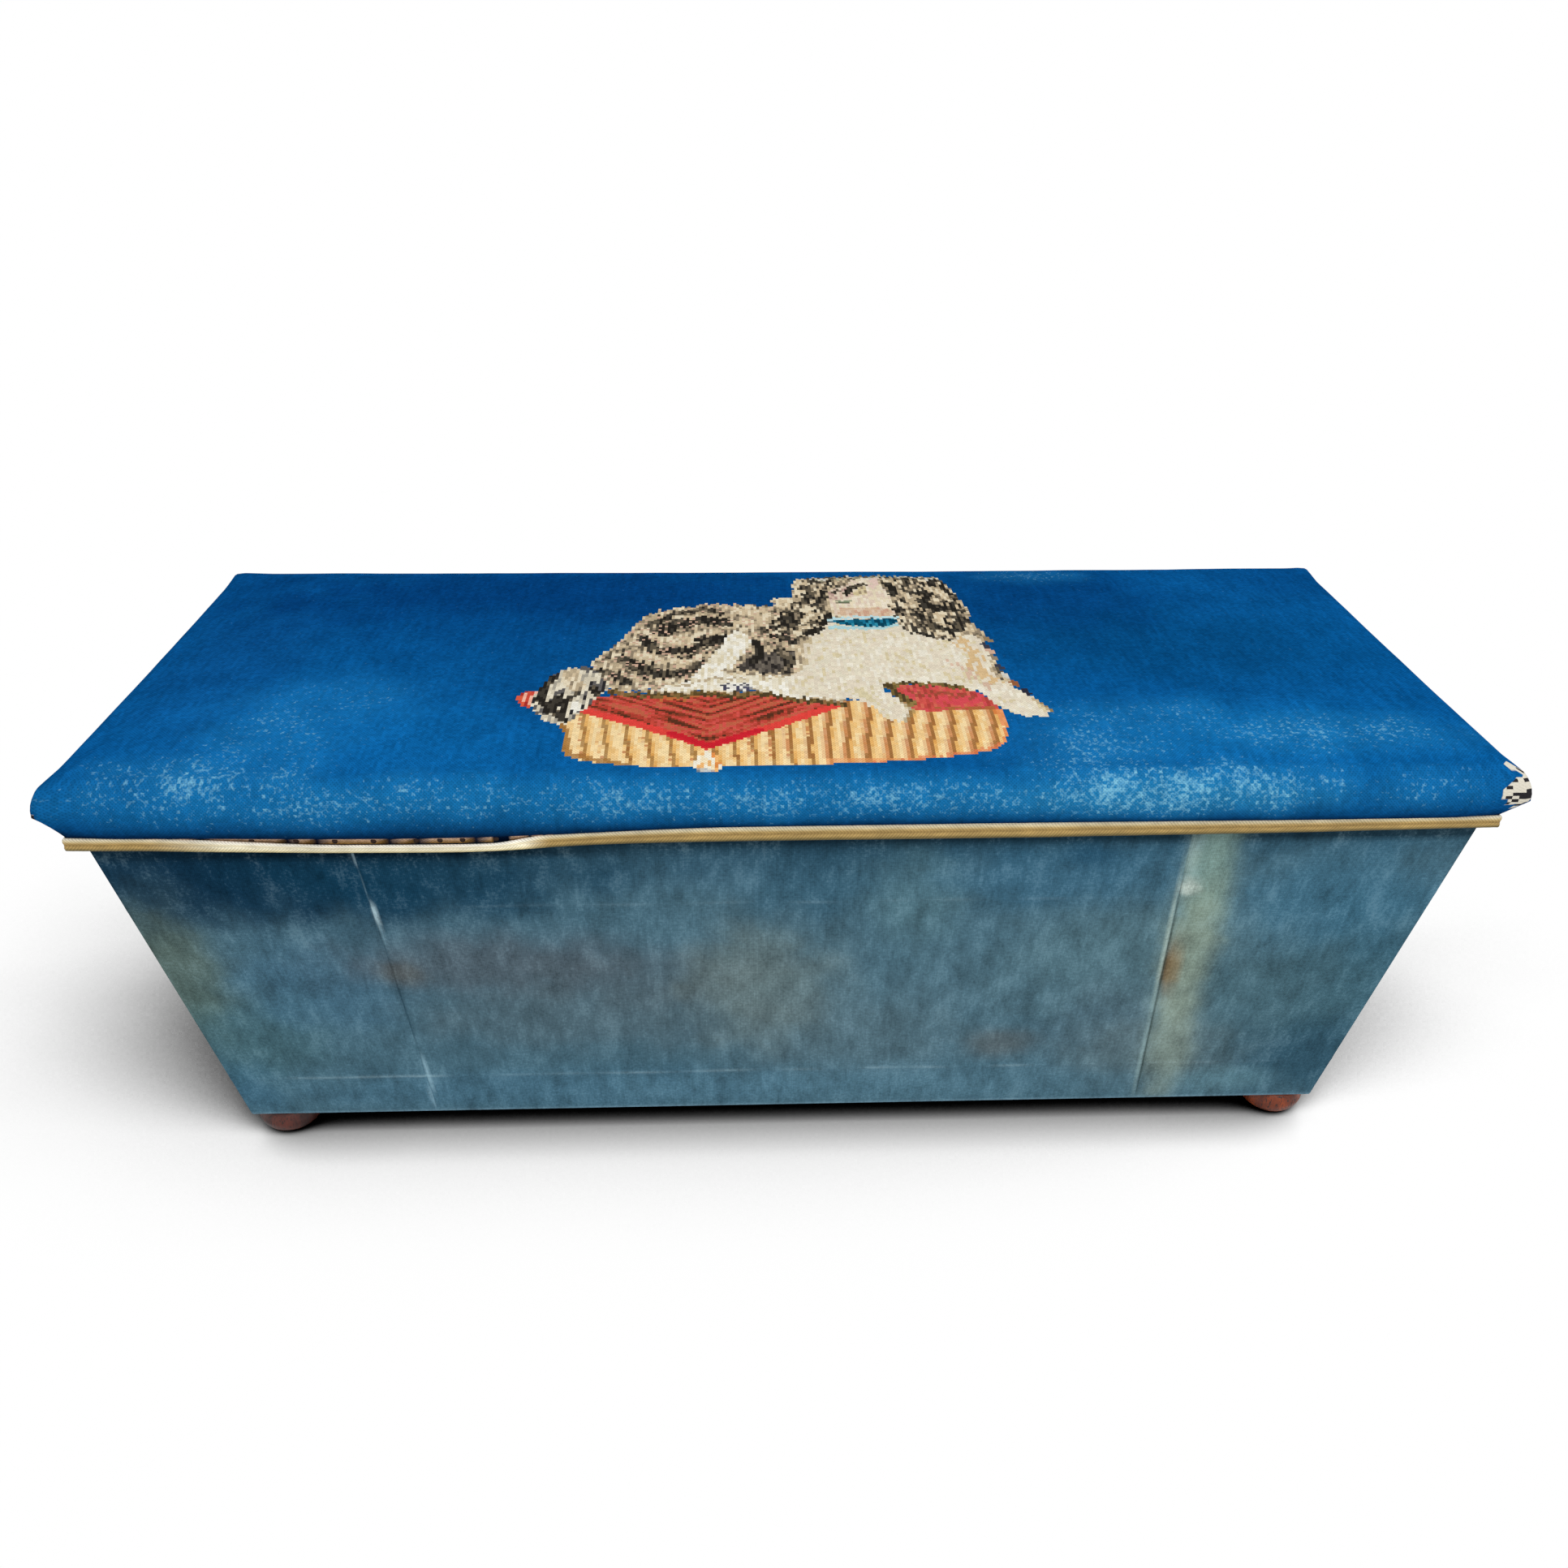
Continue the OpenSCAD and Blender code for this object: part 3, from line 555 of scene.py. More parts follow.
def wool_cloth():
    """Fulled wool: a matt nap over a plain weave, mottled where the indigo has rubbed off, and
    darker in the weave's hollows as painted shade.
    """
    made, tree, shader = material("faded_wool_cloth", Roughness=1.0, Specular_IOR_Level=0.0)
    flat = add(tree, "UVMap", uv_map="flat").outputs[0]
    dye = add(tree, "VertexColor", layer_name="dye").outputs[0]
    weave = weave_height(tree, flat, THREAD)
    speckle = clouds(tree, flat, 3.2 * MM, 3.0, 0.7)
    light = speckle
    for stretch, size, share in ((0.2, 4 * MM, 0.3), (0.45, 16 * MM, 0.4),
                                 (0.6, 45 * MM, 0.28)):
        drawn = drawn_out(tree, flat, (1.0, stretch, 1.0))
        cloud = clouds(tree, drawn, size, 3.0, 0.55)
        light = merged(tree, share, light, cloud)
    gain = ranged(tree, light, 0.39, 0.61, 0.6, 1.4)
    # Painted shade: the weave's hollows darker and its crossings lighter.
    thread = ranged(tree, weave, 0, 1, 0.86, 1.1)
    both = calc(tree, "MULTIPLY", gain, thread)
    tint = scaled(tree, dye, both)
    rubbed = ranged(tree, light, 0.52, 0.66, 0, 0.28)
    worn = blend(tree, rubbed, tint, colour("#7f98a0"))
    height = merged(tree, 0.5, weave, speckle)
    finish_shader(tree, shader, worn, height, 0.5, 0.35 * MM)
    return made


faded_wool = wool_cloth()
NOTCH_PAST, NOTCH_DOWN = 2.5 * MM, 3.9 * MM
hinge_leaves = [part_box(f"box_hinge_leaf_{s}") for s in ("left", "right")]
hinge_centres = [(low.x + high.x) / 2 for low, high in hinge_leaves]
NOTCH_HALF = (hinge_leaves[0][1].x - hinge_leaves[0][0].x) / 2 + NOTCH_PAST


def cloth_piece(name, side, left, right, washes, columns):
    """One piece of cloth on a side: 0 front, 1 right end, 2 back, 3 left end. left and right
    are seams' places, or None where the piece goes to the corner."""
    rows = spaced(SLANT + HEM_WIDTH - EDGE_RADIUS, 9 * MM, [1.5 * MM, NOTCH_DOWN - 1.5 * MM],
                  [FOLD_DOWN, FAINT_FOLD_DOWN, SLANT - EDGE_RADIUS])
    turn = Matrix.Rotation(math.pi / 2 * side, 3, "Z")
    round_corner = side % 2 == 0

    def place(share, down):
        inset, height = lower_edge(down)
        half_long, half_wide = HALF_LENGTH - inset, HALF_DEPTH - inset
        if not round_corner:
            half_long, half_wide = half_wide, half_long
        past = CORNER_RADIUS * (math.pi / 2 - 1) if round_corner else -CORNER_RADIUS
        run = SEAM_LEAN * min(down, SLANT)
        start = -half_long - past if left is None else left + run
        end = half_long + past if right is None else right + run
        along = start + (end - start) * share
        if round_corner:
            point = wrapped(along, half_long, half_wide)
        else:
            point = Vector((along, -half_wide, 0))
        on_face = min(1.0, max(0.0, (SLANT - 4 * MM - down) / (8 * MM)))
        near_corner = min(1.0, abs(abs(along) - half_long) / RIPPLE_FADE)
        rise = RIPPLE * blurred(along, down, RIPPLE_SIZE, 3 + side) * near_corner
        rise += FOLD_RISE * bell(down - FOLD_DOWN, FOLD_HALF)
        rise += FOLD_RISE / 2 * bell(down - FAINT_FOLD_DOWN, FOLD_HALF)
        for seam in (left, right):
            if seam is not None:
                rise -= SEAM_DIP * bell(along - seam - run, SEAM_HALF)
                rise += 0.5 * SEAM_DIP * bell(abs(along - seam - run) - ALLOWANCE_IN,
                                              ALLOWANCE_HALF)
        point.y -= rise * on_face
        point = turn @ point
        point.z = height
        return point, (along, down)

    piece = grid_sheet(name, columns, rows, place, faded_wool)
    if side == 2:
        notched = bmesh.new()
        notched.from_mesh(piece.data)
        inside_notch = [f for f in notched.faces
                        if f.calc_center_median().z > BOX_TOP - NOTCH_DOWN and any(
                            abs(f.calc_center_median().x - centre) < NOTCH_HALF
                            for centre in hinge_centres)]
        bmesh.ops.delete(notched, geom=inside_notch, context="FACES")
        notched.to_mesh(piece.data)
        notched.free()
    if side == 0:
        lines = [(FOLD_DOWN, 0.45, 500, 25), (FAINT_FOLD_DOWN, 0.16, 330, 0)]
    else:
        lines = [(FOLD_DOWN, 0.35, 560, 0)]

    def shade(x, y):
        tone = washed(FRONT_DYE, washes, x, y)
        for down, strength, reach, shift in lines:
            ends = 1 / (1 + math.exp((abs(x + shift) - reach) / 20))
            broken = max(0.0, 0.3 + 1.1 * blurred(x, 0, 45, down))
            share = strength * ends * broken * bell(y * MM - down - 1.2 * MM
                                                    * blurred(x, 0, 90, down), 0.8 * FOLD_HALF)
            tone = tone + (rgb(FOLD_PALE) - tone) * share
        # Painted shadow: a dark band on the cloth just below the braid, lower where the braid
        # has dropped.
        under = 11 + (dropped(BRAID_DROPS, x * MM + BRAID_X) / MM
                      + 2.5 * loose(x * MM + BRAID_X) if side == 0 else 0)
        dark = 0.75 + 0.2 * loose(x * MM + BRAID_X) if side == 0 else 0.6
        tone = tone + (BRAID_PAINTED_SHADOW - tone) * dark * bell(max(y - under - 1, 0), 4)
        if side == 0:
            run = SEAM_LEAN * y
            tone = washed(tone, LEFT_MARKS, x - run - SEAM_LEFT / MM, y)
            tone = washed(tone, RIGHT_MARKS, x - run - SEAM_RIGHT / MM, y)
        edge = bell(y * MM - SLANT + 1 * MM, 2.5 * MM)
        return tone + (rgb("#86a9bd") - tone) * 0.45 * edge

    paint(piece, "dye", shade)
    thicken(piece, CLOTH_THICK)
    node = name.replace("covering_", "")
    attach(piece, "box")
    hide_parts(node)


def shares(length, fine=(0.7 * MM, 0.9 * MM, 1.2 * MM, 4 * MM), close=()):
    return [p / length for p in spaced(length, 9 * MM, list(fine), close)]


left_width, right_width = SEAM_LEFT + HALF_LENGTH, HALF_LENGTH - SEAM_RIGHT
middle_width = SEAM_RIGHT - SEAM_LEFT
cloth_piece("covering_front_cloth_left", 0, None, SEAM_LEFT, FRONT_WASHES,
            shares(left_width))
cloth_piece("covering_front_cloth_middle", 0, SEAM_LEFT, SEAM_RIGHT, FRONT_WASHES,
            shares(middle_width))
cloth_piece("covering_front_cloth_right", 0, SEAM_RIGHT, None, FRONT_WASHES,
            shares(right_width))
for side, name in ((1, "covering_right_end_cloth"), (3, "covering_left_end_cloth")):
    cloth_piece(name, side, None, None, PLAIN_WASHES, shares(2 * HALF_DEPTH))
notch_ends = [HALF_LENGTH + centre + end * NOTCH_HALF for centre in hinge_centres
              for end in (-1, 1)]
back_columns = [p for p in shares(2 * HALF_LENGTH)
                if all(abs(p * 2 * HALF_LENGTH - e) > 4 * MM for e in notch_ends)]
back_columns = sorted(back_columns + [e / (2 * HALF_LENGTH) for e in notch_ends])
cloth_piece("covering_back_cloth", 2, None, None, PLAIN_WASHES, back_columns)

# Hem tacks: blued steel cut tacks through the hem, up into the boards' lower edges.
TACK_PITCH = 60 * MM
TACK_RADIUS, TACK_RISE = 2.6 * MM, 0.9 * MM


def close_up(bm):
    """Fills the open ends of a form and turns its faces outwards."""
    bmesh.ops.holes_fill(bm, edges=[e for e in bm.edges if e.is_boundary])
    bmesh.ops.recalc_face_normals(bm, faces=bm.faces)


def tack_heads(name, places, upwards, finish):
    """Low domed heads at given places, all facing one way."""
    bm = bmesh.new()
    face = Vector(upwards).to_track_quat("Z", "Y").to_matrix().to_4x4()
    for at in places:
        made = bmesh.ops.create_uvsphere(bm, u_segments=10, v_segments=6, radius=1,
                                         matrix=Matrix.Translation(at) @ face
                                         @ Matrix.Diagonal((TACK_RADIUS, TACK_RADIUS,
                                                            TACK_RISE, 1)))
        under = [v for v in made["verts"] if (v.co - at).dot(Vector(upwards)) < -0.1 * MM]
        bmesh.ops.delete(bm, geom=under, context="VERTS")
    close_up(bm)
    made = finish_mesh(name, bm, finish)
    made.data.set_sharp_from_angle(angle=math.radians(60))
    return made


blued_steel, steel_tree, steel_shader = material("blued_steel", Metallic=1.0)
stained = add(steel_tree, "TexNoise", {
    "Vector": add(steel_tree, "TexCoord").outputs["Object"], "Scale": 1 / (2 * MM)})
rust = add(steel_tree, "Mix", {"Factor": stained.outputs["Fac"], "A": colour("#2a2a2e"),
                               "B": colour("#4a3326")}, data_type="RGBA")
dulled = ranged(steel_tree, stained.outputs["Fac"], 0, 1, 0.35, 0.7)
steel_tree.links.new(rust.outputs["Result"], steel_shader.inputs["Base Color"])
steel_tree.links.new(dulled, steel_shader.inputs["Roughness"])

hem_x = HALF_LENGTH - LEAN_IN - HEM_WIDTH / 2
hem_y = HALF_DEPTH - LEAN_IN - HEM_WIDTH / 2
across = int(hem_x / TACK_PITCH)
deep = int(hem_y / TACK_PITCH)
hem_places = [Vector((k * TACK_PITCH, end * hem_y, HEM_LEVEL))
              for k in range(-across, across + 1) for end in (-1, 1)]
hem_places += [Vector((end * hem_x, k * TACK_PITCH, HEM_LEVEL))
               for k in range(-deep, deep + 1) for end in (-1, 1)]
hem_tacks = tack_heads("hem_tacks", hem_places, (0, 0, -1), blued_steel)
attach(hem_tacks, "box")

# The linings: buff glazed cotton, pasted to the inside walls between the glue blocks, to the
# bottom, and tacked under the lid. They are yellowed, and creased where the paste has let go.
LINING_THICK = 0.7 * MM
LINING_GAP = 0.05 * MM
COTTON_THREAD = 0.8 * MM
block_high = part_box("corner_blocks")[1]
lining_low, lining_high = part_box("wall_lining")
floor_lining_low, floor_lining_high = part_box("bottom_lining")
BLOCK_LEG = 30 * MM
LINING_HELD = 30 * MM


def cotton(name, pale, brown):
    """Glazed cotton: a fine plain weave, a slight shine, yellowed in cloudy patches, and darker
    in the weave's hollows as painted shade.
    """
    made, tree, shader = material(name, Roughness=0.68, Specular_IOR_Level=0.3)
    flat = add(tree, "UVMap", uv_map="flat").outputs[0]
    weave = weave_height(tree, flat, COTTON_THREAD)
    cloud = clouds(tree, flat, 0.12, 5.0, 0.6)
    spot = clouds(tree, flat, 0.012)
    foxed = ranged(tree, spot, 0.68, 0.78, 0, 0.5)
    aged = ranged(tree, cloud, 0.4, 0.72, 0, 0.75)
    most = calc(tree, "MAXIMUM", aged, foxed)
    base = blend(tree, most, colour(pale), colour(brown))
    # Painted shade: the weave's hollows darker.
    light = ranged(tree, weave, 0, 1, 0.9, 1.05)
    tint = scaled(tree, base, light)
    height = merged(tree, 0.75, weave, cloud)
    finish_shader(tree, shader, tint, height, 0.4, 0.5 * MM)
    return made


buff_cotton = cotton("buff_glazed_cotton", "#cdbf9f", "#a98f62")
wall_height = lining_high.z - lining_low.z
block_top_down = lining_high.z - block_high.z
wall_rows = [wall_height * k / 30 for k in range(31)]
wall_rows = sorted(wall_rows + [block_top_down - LINING_GAP, block_top_down + LINING_GAP])
bm = bmesh.new()
wall_flat = bm.loops.layers.uv.new("flat")
offset = 0.0
for side in range(4):
    top_half = lining_high.x if side % 2 == 0 else lining_high.y
    top_wide = lining_high.y if side % 2 == 0 else lining_high.x
    turn = Matrix.Rotation(math.pi / 2 * side, 3, "Z")
    count = round(2 * top_half / (16 * MM))
    made = bmesh.ops.create_grid(bm, x_segments=count, y_segments=len(wall_rows) - 1, size=0.5)
    places = {}
    for k, vert in enumerate(made["verts"]):
        share, down = (k % (count + 1)) / count, wall_rows[k // (count + 1)]
        inset = down * math.tan(LEAN)
        half = top_half - inset - LINING_GAP
        if down > block_top_down:
            half -= BLOCK_LEG
        along = half * (2 * share - 1)
        puff = 0.6 * MM * max(0, blurred(along, down, 0.09, 20 + side))
        fade = min(1, (half - abs(along)) / (20 * MM)) * min(1, down / (20 * MM))
        depth = top_wide - inset - LINING_THICK - puff * fade
        point = turn @ Vector((along, -depth, 0))
        vert.co = (point.x, point.y, lining_high.z - LINING_GAP - down * (1 - LINING_GAP))
        places[vert] = (offset + along, down)
    for face in {f for v in made["verts"] for f in v.link_faces}:
        for loop in face.loops:
            loop[wall_flat].uv = places[loop.vert]
    offset += 2 * top_half
bm.normal_update()
if sum(f.normal.dot(f.calc_center_median() * Vector((1, 1, 0))) for f in bm.faces) > 0:
    bmesh.ops.reverse_faces(bm, faces=bm.faces)
wall_lining = finish_mesh("cotton_wall_lining", bm, buff_cotton)
thicken(wall_lining, LINING_THICK / 2)
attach(wall_lining, "box")
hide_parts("wall_lining")


def level_sheet(name, low, high, step, finish, cuts=(), sag=0.0, seed=0, facing=1, holes=()):
    """A level sheet between two corners, facing up or down, with soft cockles, its corners
    cut off and holes (left, right, front, back) cut out."""
    size = high - low
    lines = []
    for k in (0, 1):
        count = max(2, round(size[k] / step))
        places = [low[k] + size[k] * i / count for i in range(count + 1)]
        for hole in holes:
            edges = [min(high[k], max(low[k], e)) for e in hole[2 * k:2 * k + 2]]
            places = [p for p in places if all(abs(p - e) > step / 3 for e in edges)
                      or p in (low[k], high[k])]
            places += [e for e in edges if e not in (low[k], high[k])]
        lines.append(sorted(set(places)))

    def place(x, y):
        edge = min(x - low.x, high.x - x, y - low.y, high.y - y)
        loose_share = min(1, max(0, edge - LINING_HELD) / LINING_HELD)
        lift = sag * abs(blurred(x, y, 0.1, seed)) * loose_share
        return Vector((x, y, (high.z if facing > 0 else low.z) + lift * facing)), (x, y)

    made = grid_sheet(name, *lines, place, finish)
    cut = bmesh.new()
    cut.from_mesh(made.data)
    for point, away in cuts:
        bmesh.ops.bisect_plane(cut, geom=cut.verts[:] + cut.edges[:] + cut.faces[:],
                               plane_co=point, plane_no=away, clear_outer=True)
    gone = [f for f in cut.faces for left, right, front, back in holes
            if left < f.calc_center_median().x < right
            and front < f.calc_center_median().y < back]
    bmesh.ops.delete(cut, geom=gone, context="FACES")
    if facing < 0:
        bmesh.ops.reverse_faces(cut, faces=cut.faces)
    cut.to_mesh(made.data)
    cut.free()
    return made


leg_cuts = [((sx * (floor_lining_high.x - BLOCK_LEG), sy * floor_lining_high.y, 0),
             (sx, sy, 0)) for sx in (-1, 1) for sy in (-1, 1)]
bottom_lining = level_sheet("cotton_bottom_lining", floor_lining_low, floor_lining_high,
                            20 * MM, buff_cotton, leg_cuts, 0.7 * MM, 5)
thicken(bottom_lining, LINING_THICK)
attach(bottom_lining, "box")
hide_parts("bottom_lining")

# Butt hinges: cast brass, with five barrels on a riveted pin, each leaf let in and held by
# three countersunk brass screws with slotted heads. The brass has browned.
HINGE_SCREW_RADIUS, HINGE_HEAD_RADIUS = 1.9 * MM, 3.8 * MM
HINGE_HEAD_DEPTH, HINGE_SCREW_LENGTH = 1.9 * MM, 15 * MM
SLOT_HALF, SLOT_DEPTH = 0.45 * MM, 0.8 * MM


def brass(name, clean, brown):
    """Old brass: dull gold with brown tarnish in cloudy patches and fine scratches."""
    made, tree, shader = material(name, Metallic=1.0)
    place = add(tree, "TexCoord").outputs["Object"]
    tarnish = clouds(tree, place, 0.011, 5.0, 0.65)
    amount = ranged(tree, tarnish, 0.38, 0.66)
    tint = blend(tree, amount, colour(clean), colour(brown))
    dull = add(tree, "MapRange", {"Value": amount, "To Min": 0.28, "To Max": 0.55})
    drawn = drawn_out(tree, place, (0.04, 1.0, 1.0))
    scratch = clouds(tree, drawn, 0.5 * MM)
    finish_shader(tree, shader, tint, scratch, 0.12, 0.1 * MM, dull.outputs[0])
    return made


old_brass = brass("old_brass", "#b8924a", "#6b4f26")
finish_nodes(old_brass, "brass", "box_hinge_leaf_left", "box_hinge_leaf_right",
             "hinge_pin_left", "hinge_pin_right", "lid_hinge_leaf_left",
             "lid_hinge_leaf_right")


def slotted_screws(name, node, body, up):
    """Countersunk screws where a CAD node has them: each head gets a cut slot."""
    low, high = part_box(node)
    face = high.z if up > 0 else low.z
    bm = bmesh.new()
    row = (low.y + high.y) / 2
    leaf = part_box("box_hinge_leaf_left")
    pitch = (leaf[1].x - leaf[0].x) / 3
    for centre in hinge_centres:
        for k in (-1, 0, 1):
            one = bmesh.new()
            rings = []
            for radius, depth in ((HINGE_HEAD_RADIUS, 0), (HINGE_SCREW_RADIUS,
                                                           HINGE_HEAD_DEPTH),
                                  (HINGE_SCREW_RADIUS, 0.8 * HINGE_SCREW_LENGTH),
                                  (0.1 * HINGE_SCREW_RADIUS, HINGE_SCREW_LENGTH)):
                ring = bmesh.ops.create_circle(one, segments=24, radius=radius)["verts"]
                bmesh.ops.translate(one, verts=ring, vec=(0, 0, -depth))
                rings.append(ring)
            loops = [{e for v in ring for e in v.link_edges} for ring in rings]
            for upper, lower in zip(loops, loops[1:]):
                bmesh.ops.bridge_loops(one, edges=list(upper | lower))
            bmesh.ops.holes_fill(one, edges=[e for e in one.edges if e.is_boundary])
            for side in (-1, 1):
                flat_top = [f for f in one.faces if all(abs(v.co.z) < 1e-7 for v in f.verts)]
                geom = flat_top + list({e for f in flat_top for e in f.edges}) + \
                    list({v for f in flat_top for v in f.verts})
                bmesh.ops.bisect_plane(one, geom=geom, plane_co=(0, side * SLOT_HALF, 0),
                                       plane_no=(0, 1, 0))
            slot = [f for f in one.faces if all(abs(v.co.z) < 1e-7 for v in f.verts)
                    and abs(f.calc_center_median().y) < SLOT_HALF]
            cut = bmesh.ops.extrude_face_region(one, geom=slot)["geom"]
            bmesh.ops.delete(one, geom=slot, context="FACES_KEEP_BOUNDARY")
            sunk = [v for v in cut if isinstance(v, bmesh.types.BMVert)]
            bmesh.ops.translate(one, verts=sunk, vec=(0, 0, -SLOT_DEPTH))
            bmesh.ops.recalc_face_normals(one, faces=one.faces)
            turn = Matrix.Rotation(0.5 + 1.3 * k + centre, 4, "Z")
            flip = Matrix.Diagonal((1, 1, up, 1))
            bmesh.ops.transform(one, matrix=Matrix.Translation((centre + k * pitch, row, face))
                                @ flip @ turn, verts=one.verts)
            if up < 0:
                bmesh.ops.reverse_faces(one, faces=one.faces)
            single = bpy.data.meshes.new("single")
            one.to_mesh(single)
            one.free()
            bm.from_mesh(single)
            bpy.data.meshes.remove(single)
    made = finish_mesh(name, bm, old_brass)
    made.data.set_sharp_from_angle(angle=math.radians(30))
    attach(made, body)
    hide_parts(node)


slotted_screws("brass_screws_box", "box_hinge_screws", "box", 1)
slotted_screws("brass_screws_lid", "lid_hinge_screws", "lid", -1)

# The lid's frame: four pine rails half lapped at the corners, and two cross rails tenoned
# between the long ones, which carry the webbing.
finish_nodes(pine_long, "pine", "lid_front_rail", "lid_back_rail")
finish_nodes(pine_end, "pine", "lid_left_rail", "lid_right_rail", "lid_cross_rails")

# The webbing: twelve strips of jute web, stretched over the frame's opening, woven over and
# under each other, and tacked down on top of the rails.
JUTE_THREAD = 2 * MM
WEB_WIDTH, WEB_THICK, WEB_GAP, WEB_EASE = 50 * MM, 1.5 * MM, 0.1 * MM, 2 * MM
CROSS_PITCH, LONG_PITCH = 130 * MM, 120 * MM
CROSS_WEBS, LONG_WEBS = 4, 1
WEB_END_IN = 15 * MM
rail_low, rail_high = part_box("lid_front_rail")
RAIL_X, RAIL_Y = rail_high.x, -rail_low.y
RAIL_BOTTOM, RAIL_TOP = rail_low.z, rail_high.z


def jute(name, pale, dark, spacing):
    """Jute cloth: coarse uneven brown threads in a plain weave, hairy and without shine; darker
    along uneven threads and, as painted shade, in the weave's hollows.
    """
    made, tree, shader = material(name, Roughness=0.95, Specular_IOR_Level=0.12)
    flat = add(tree, "UVMap", uv_map="flat").outputs[0]
    weave = weave_height(tree, flat, spacing)
    across = drawn_out(tree, flat, (1.0, 0.06, 1.0))
    along = drawn_out(tree, flat, (0.06, 1.0, 1.0))
    threads = [add(tree, "TexNoise", {"Vector": way, "Scale": 1 / (1.5 * spacing)})
               for way in (across, along)]
    uneven = merged(tree, 0.5, threads[0].outputs["Fac"], threads[1].outputs["Fac"])
    # Painted shade in the weave's hollows, mixed with the threads' own unevenness.
    tone = merged(tree, 0.45, weave, uneven)
    tone = ranged(tree, tone, 0.2, 0.7)
    tint = blend(tree, tone, colour(dark), colour(pale))
    finish_shader(tree, shader, tint, tone, 0.7, 0.5 * MM)
    return made


jute_web = jute("jute_web", "#b59a6c", "#5d4728", JUTE_THREAD)
hessian_cloth = jute("hessian_cloth", "#ad9161", "#6a5130", 1.4 * MM)


def woven_level(along, count, pitch, index, start):
    """Height of a strip above the rails at a distance from the middle of the opening."""
    step = WEB_THICK + WEB_GAP
    ease = pitch - WEB_WIDTH - 2 * WEB_EASE
    nearest = max(-count, min(count, round(along / pitch)))
    level = step * ((abs(nearest) + abs(index) + start) % 2 == 0)
    past = abs(along - nearest * pitch) - WEB_WIDTH / 2 - WEB_EASE
    if past <= 0:
        return level
    beyond = nearest + (1 if along > nearest * pitch else -1)
    other = step * (abs(beyond) <= count and (abs(beyond) + abs(index) + start) % 2 == 0)
    share = min(1, past / ease)
    share = share * share * (3 - 2 * share)
    return level + (other - level) * share


def web_strip(name, index, across):
    """One strip of webbing, from the front to the back or from end to end."""
    half = (RAIL_Y if across else RAIL_X) - WEB_END_IN
    count = round(2 * half / (8 * MM))
    lengths = [half * (2 * k / count - 1) for k in range(count + 1)]
    widths = [WEB_WIDTH * (k / 4 - 0.5) for k in range(5)]

    def place(column, row):
        along, aside = (row, column) if across else (column, row)
        if across:
            level = woven_level(along, LONG_WEBS, LONG_PITCH, index, 0)
            point = Vector((index * CROSS_PITCH + aside, along, 0))
        else:
            level = woven_level(along, CROSS_WEBS, CROSS_PITCH, index, 1)
            point = Vector((along, index * LONG_PITCH + aside, 0))
        point.z = RAIL_TOP + level + WEB_THICK
        return point, (column, row)

    columns, rows = (widths, lengths) if across else (lengths, widths)
    strip = grid_sheet(name, columns, rows, place, jute_web)
    thicken(strip, 0.95 * WEB_THICK)
    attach(strip, "lid")
    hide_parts("webbing")


for k in range(-CROSS_WEBS, CROSS_WEBS + 1):
    web_strip(f"webbing_across_{k + CROSS_WEBS + 1}", k, True)
for k in range(-LONG_WEBS, LONG_WEBS + 1):
    web_strip(f"webbing_along_{k + LONG_WEBS + 1}", k, False)

# Hessian: a jute cloth over the webbing, which keeps the hair from falling through.
hessian_low, hessian_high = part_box("hessian")
hessian = level_sheet("hessian_over_webbing", hessian_low, hessian_high, 14 * MM, hessian_cloth)
thicken(hessian, hessian_high.z - hessian_low.z)
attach(hessian, "lid")
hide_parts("hessian")

# The hair pad: curled horsehair stuffed over the frame and its edges. Its form is that of the
# lid, with lumps in it, blown up under the cover by a cloth simulation.
lid_low, lid_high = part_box("woolwork_cover")
LID_X, LID_Y = lid_high.x, lid_high.y
MARGIN_LEVEL = lid_low.z
BRAID_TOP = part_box("braid")[1].z
WIDE_LEVEL, SHOULDER_LEVEL = RAIL_BOTTOM + 36 * MM, RAIL_BOTTOM + 64.5 * MM
SHOULDER_WIDTH, CROWN_RISE, CROWN_END = 18 * MM, 4.5 * MM, 24 * MM
TUCK_IN, TUCK_ROUNDING = 15.5 * MM, 1 * MM
LID_ROUNDING, LONG_DRAW = 5 * MM, 5 * MM
CORNER_FLAT, PINCH_REACH = 0.95, 45 * MM
FORM_IN = 3 * MM
VOXEL = 6 * MM
LEAST_SWELL, SWELL_CAP = 4.5 * MM, 6 * MM
PAD_PRESSURE, SWELL_STEPS, HOLD_REACH = 4, 20, 12 * MM
LUMP_RISE, LUMP_SIZE = 1.3 * MM, 95 * MM
EDGE_EASE = 60 * MM
COVER_LAYERS = 3.1 * MM


def roll_profile(depth, under_turns, shoulder_turns):
    """Rings of the stuffed edge from the margin up, at a depth below the cover: inset, height,
    rounding of the corners, draw of the long sides, and how much further in the ring lies at
    a corner, where the round section runs out to a sharp one with straight sides."""
    rings = [(TUCK_IN, MARGIN_LEVEL, TUCK_ROUNDING, 0.0, 0.0)]
    for turn in under_turns:
        out, up = math.sin(math.radians(turn)), math.cos(math.radians(turn))
        rings.append((TUCK_IN + (depth - TUCK_IN) * out,
                      WIDE_LEVEL - (WIDE_LEVEL - BRAID_TOP - depth) * up,
                      TUCK_ROUNDING + (LID_ROUNDING - depth - TUCK_ROUNDING) * out,
                      LONG_DRAW * out, (TUCK_IN - depth) * (out + up - 1) * CORNER_FLAT))
    for turn in shoulder_turns:
        out, up = math.cos(math.radians(turn)), math.sin(math.radians(turn))
        rings.append((depth + SHOULDER_WIDTH * (1 - out),
                      WIDE_LEVEL + (SHOULDER_LEVEL - depth - WIDE_LEVEL) * up,
                      LID_ROUNDING - depth, LONG_DRAW, 0.0))
    return rings


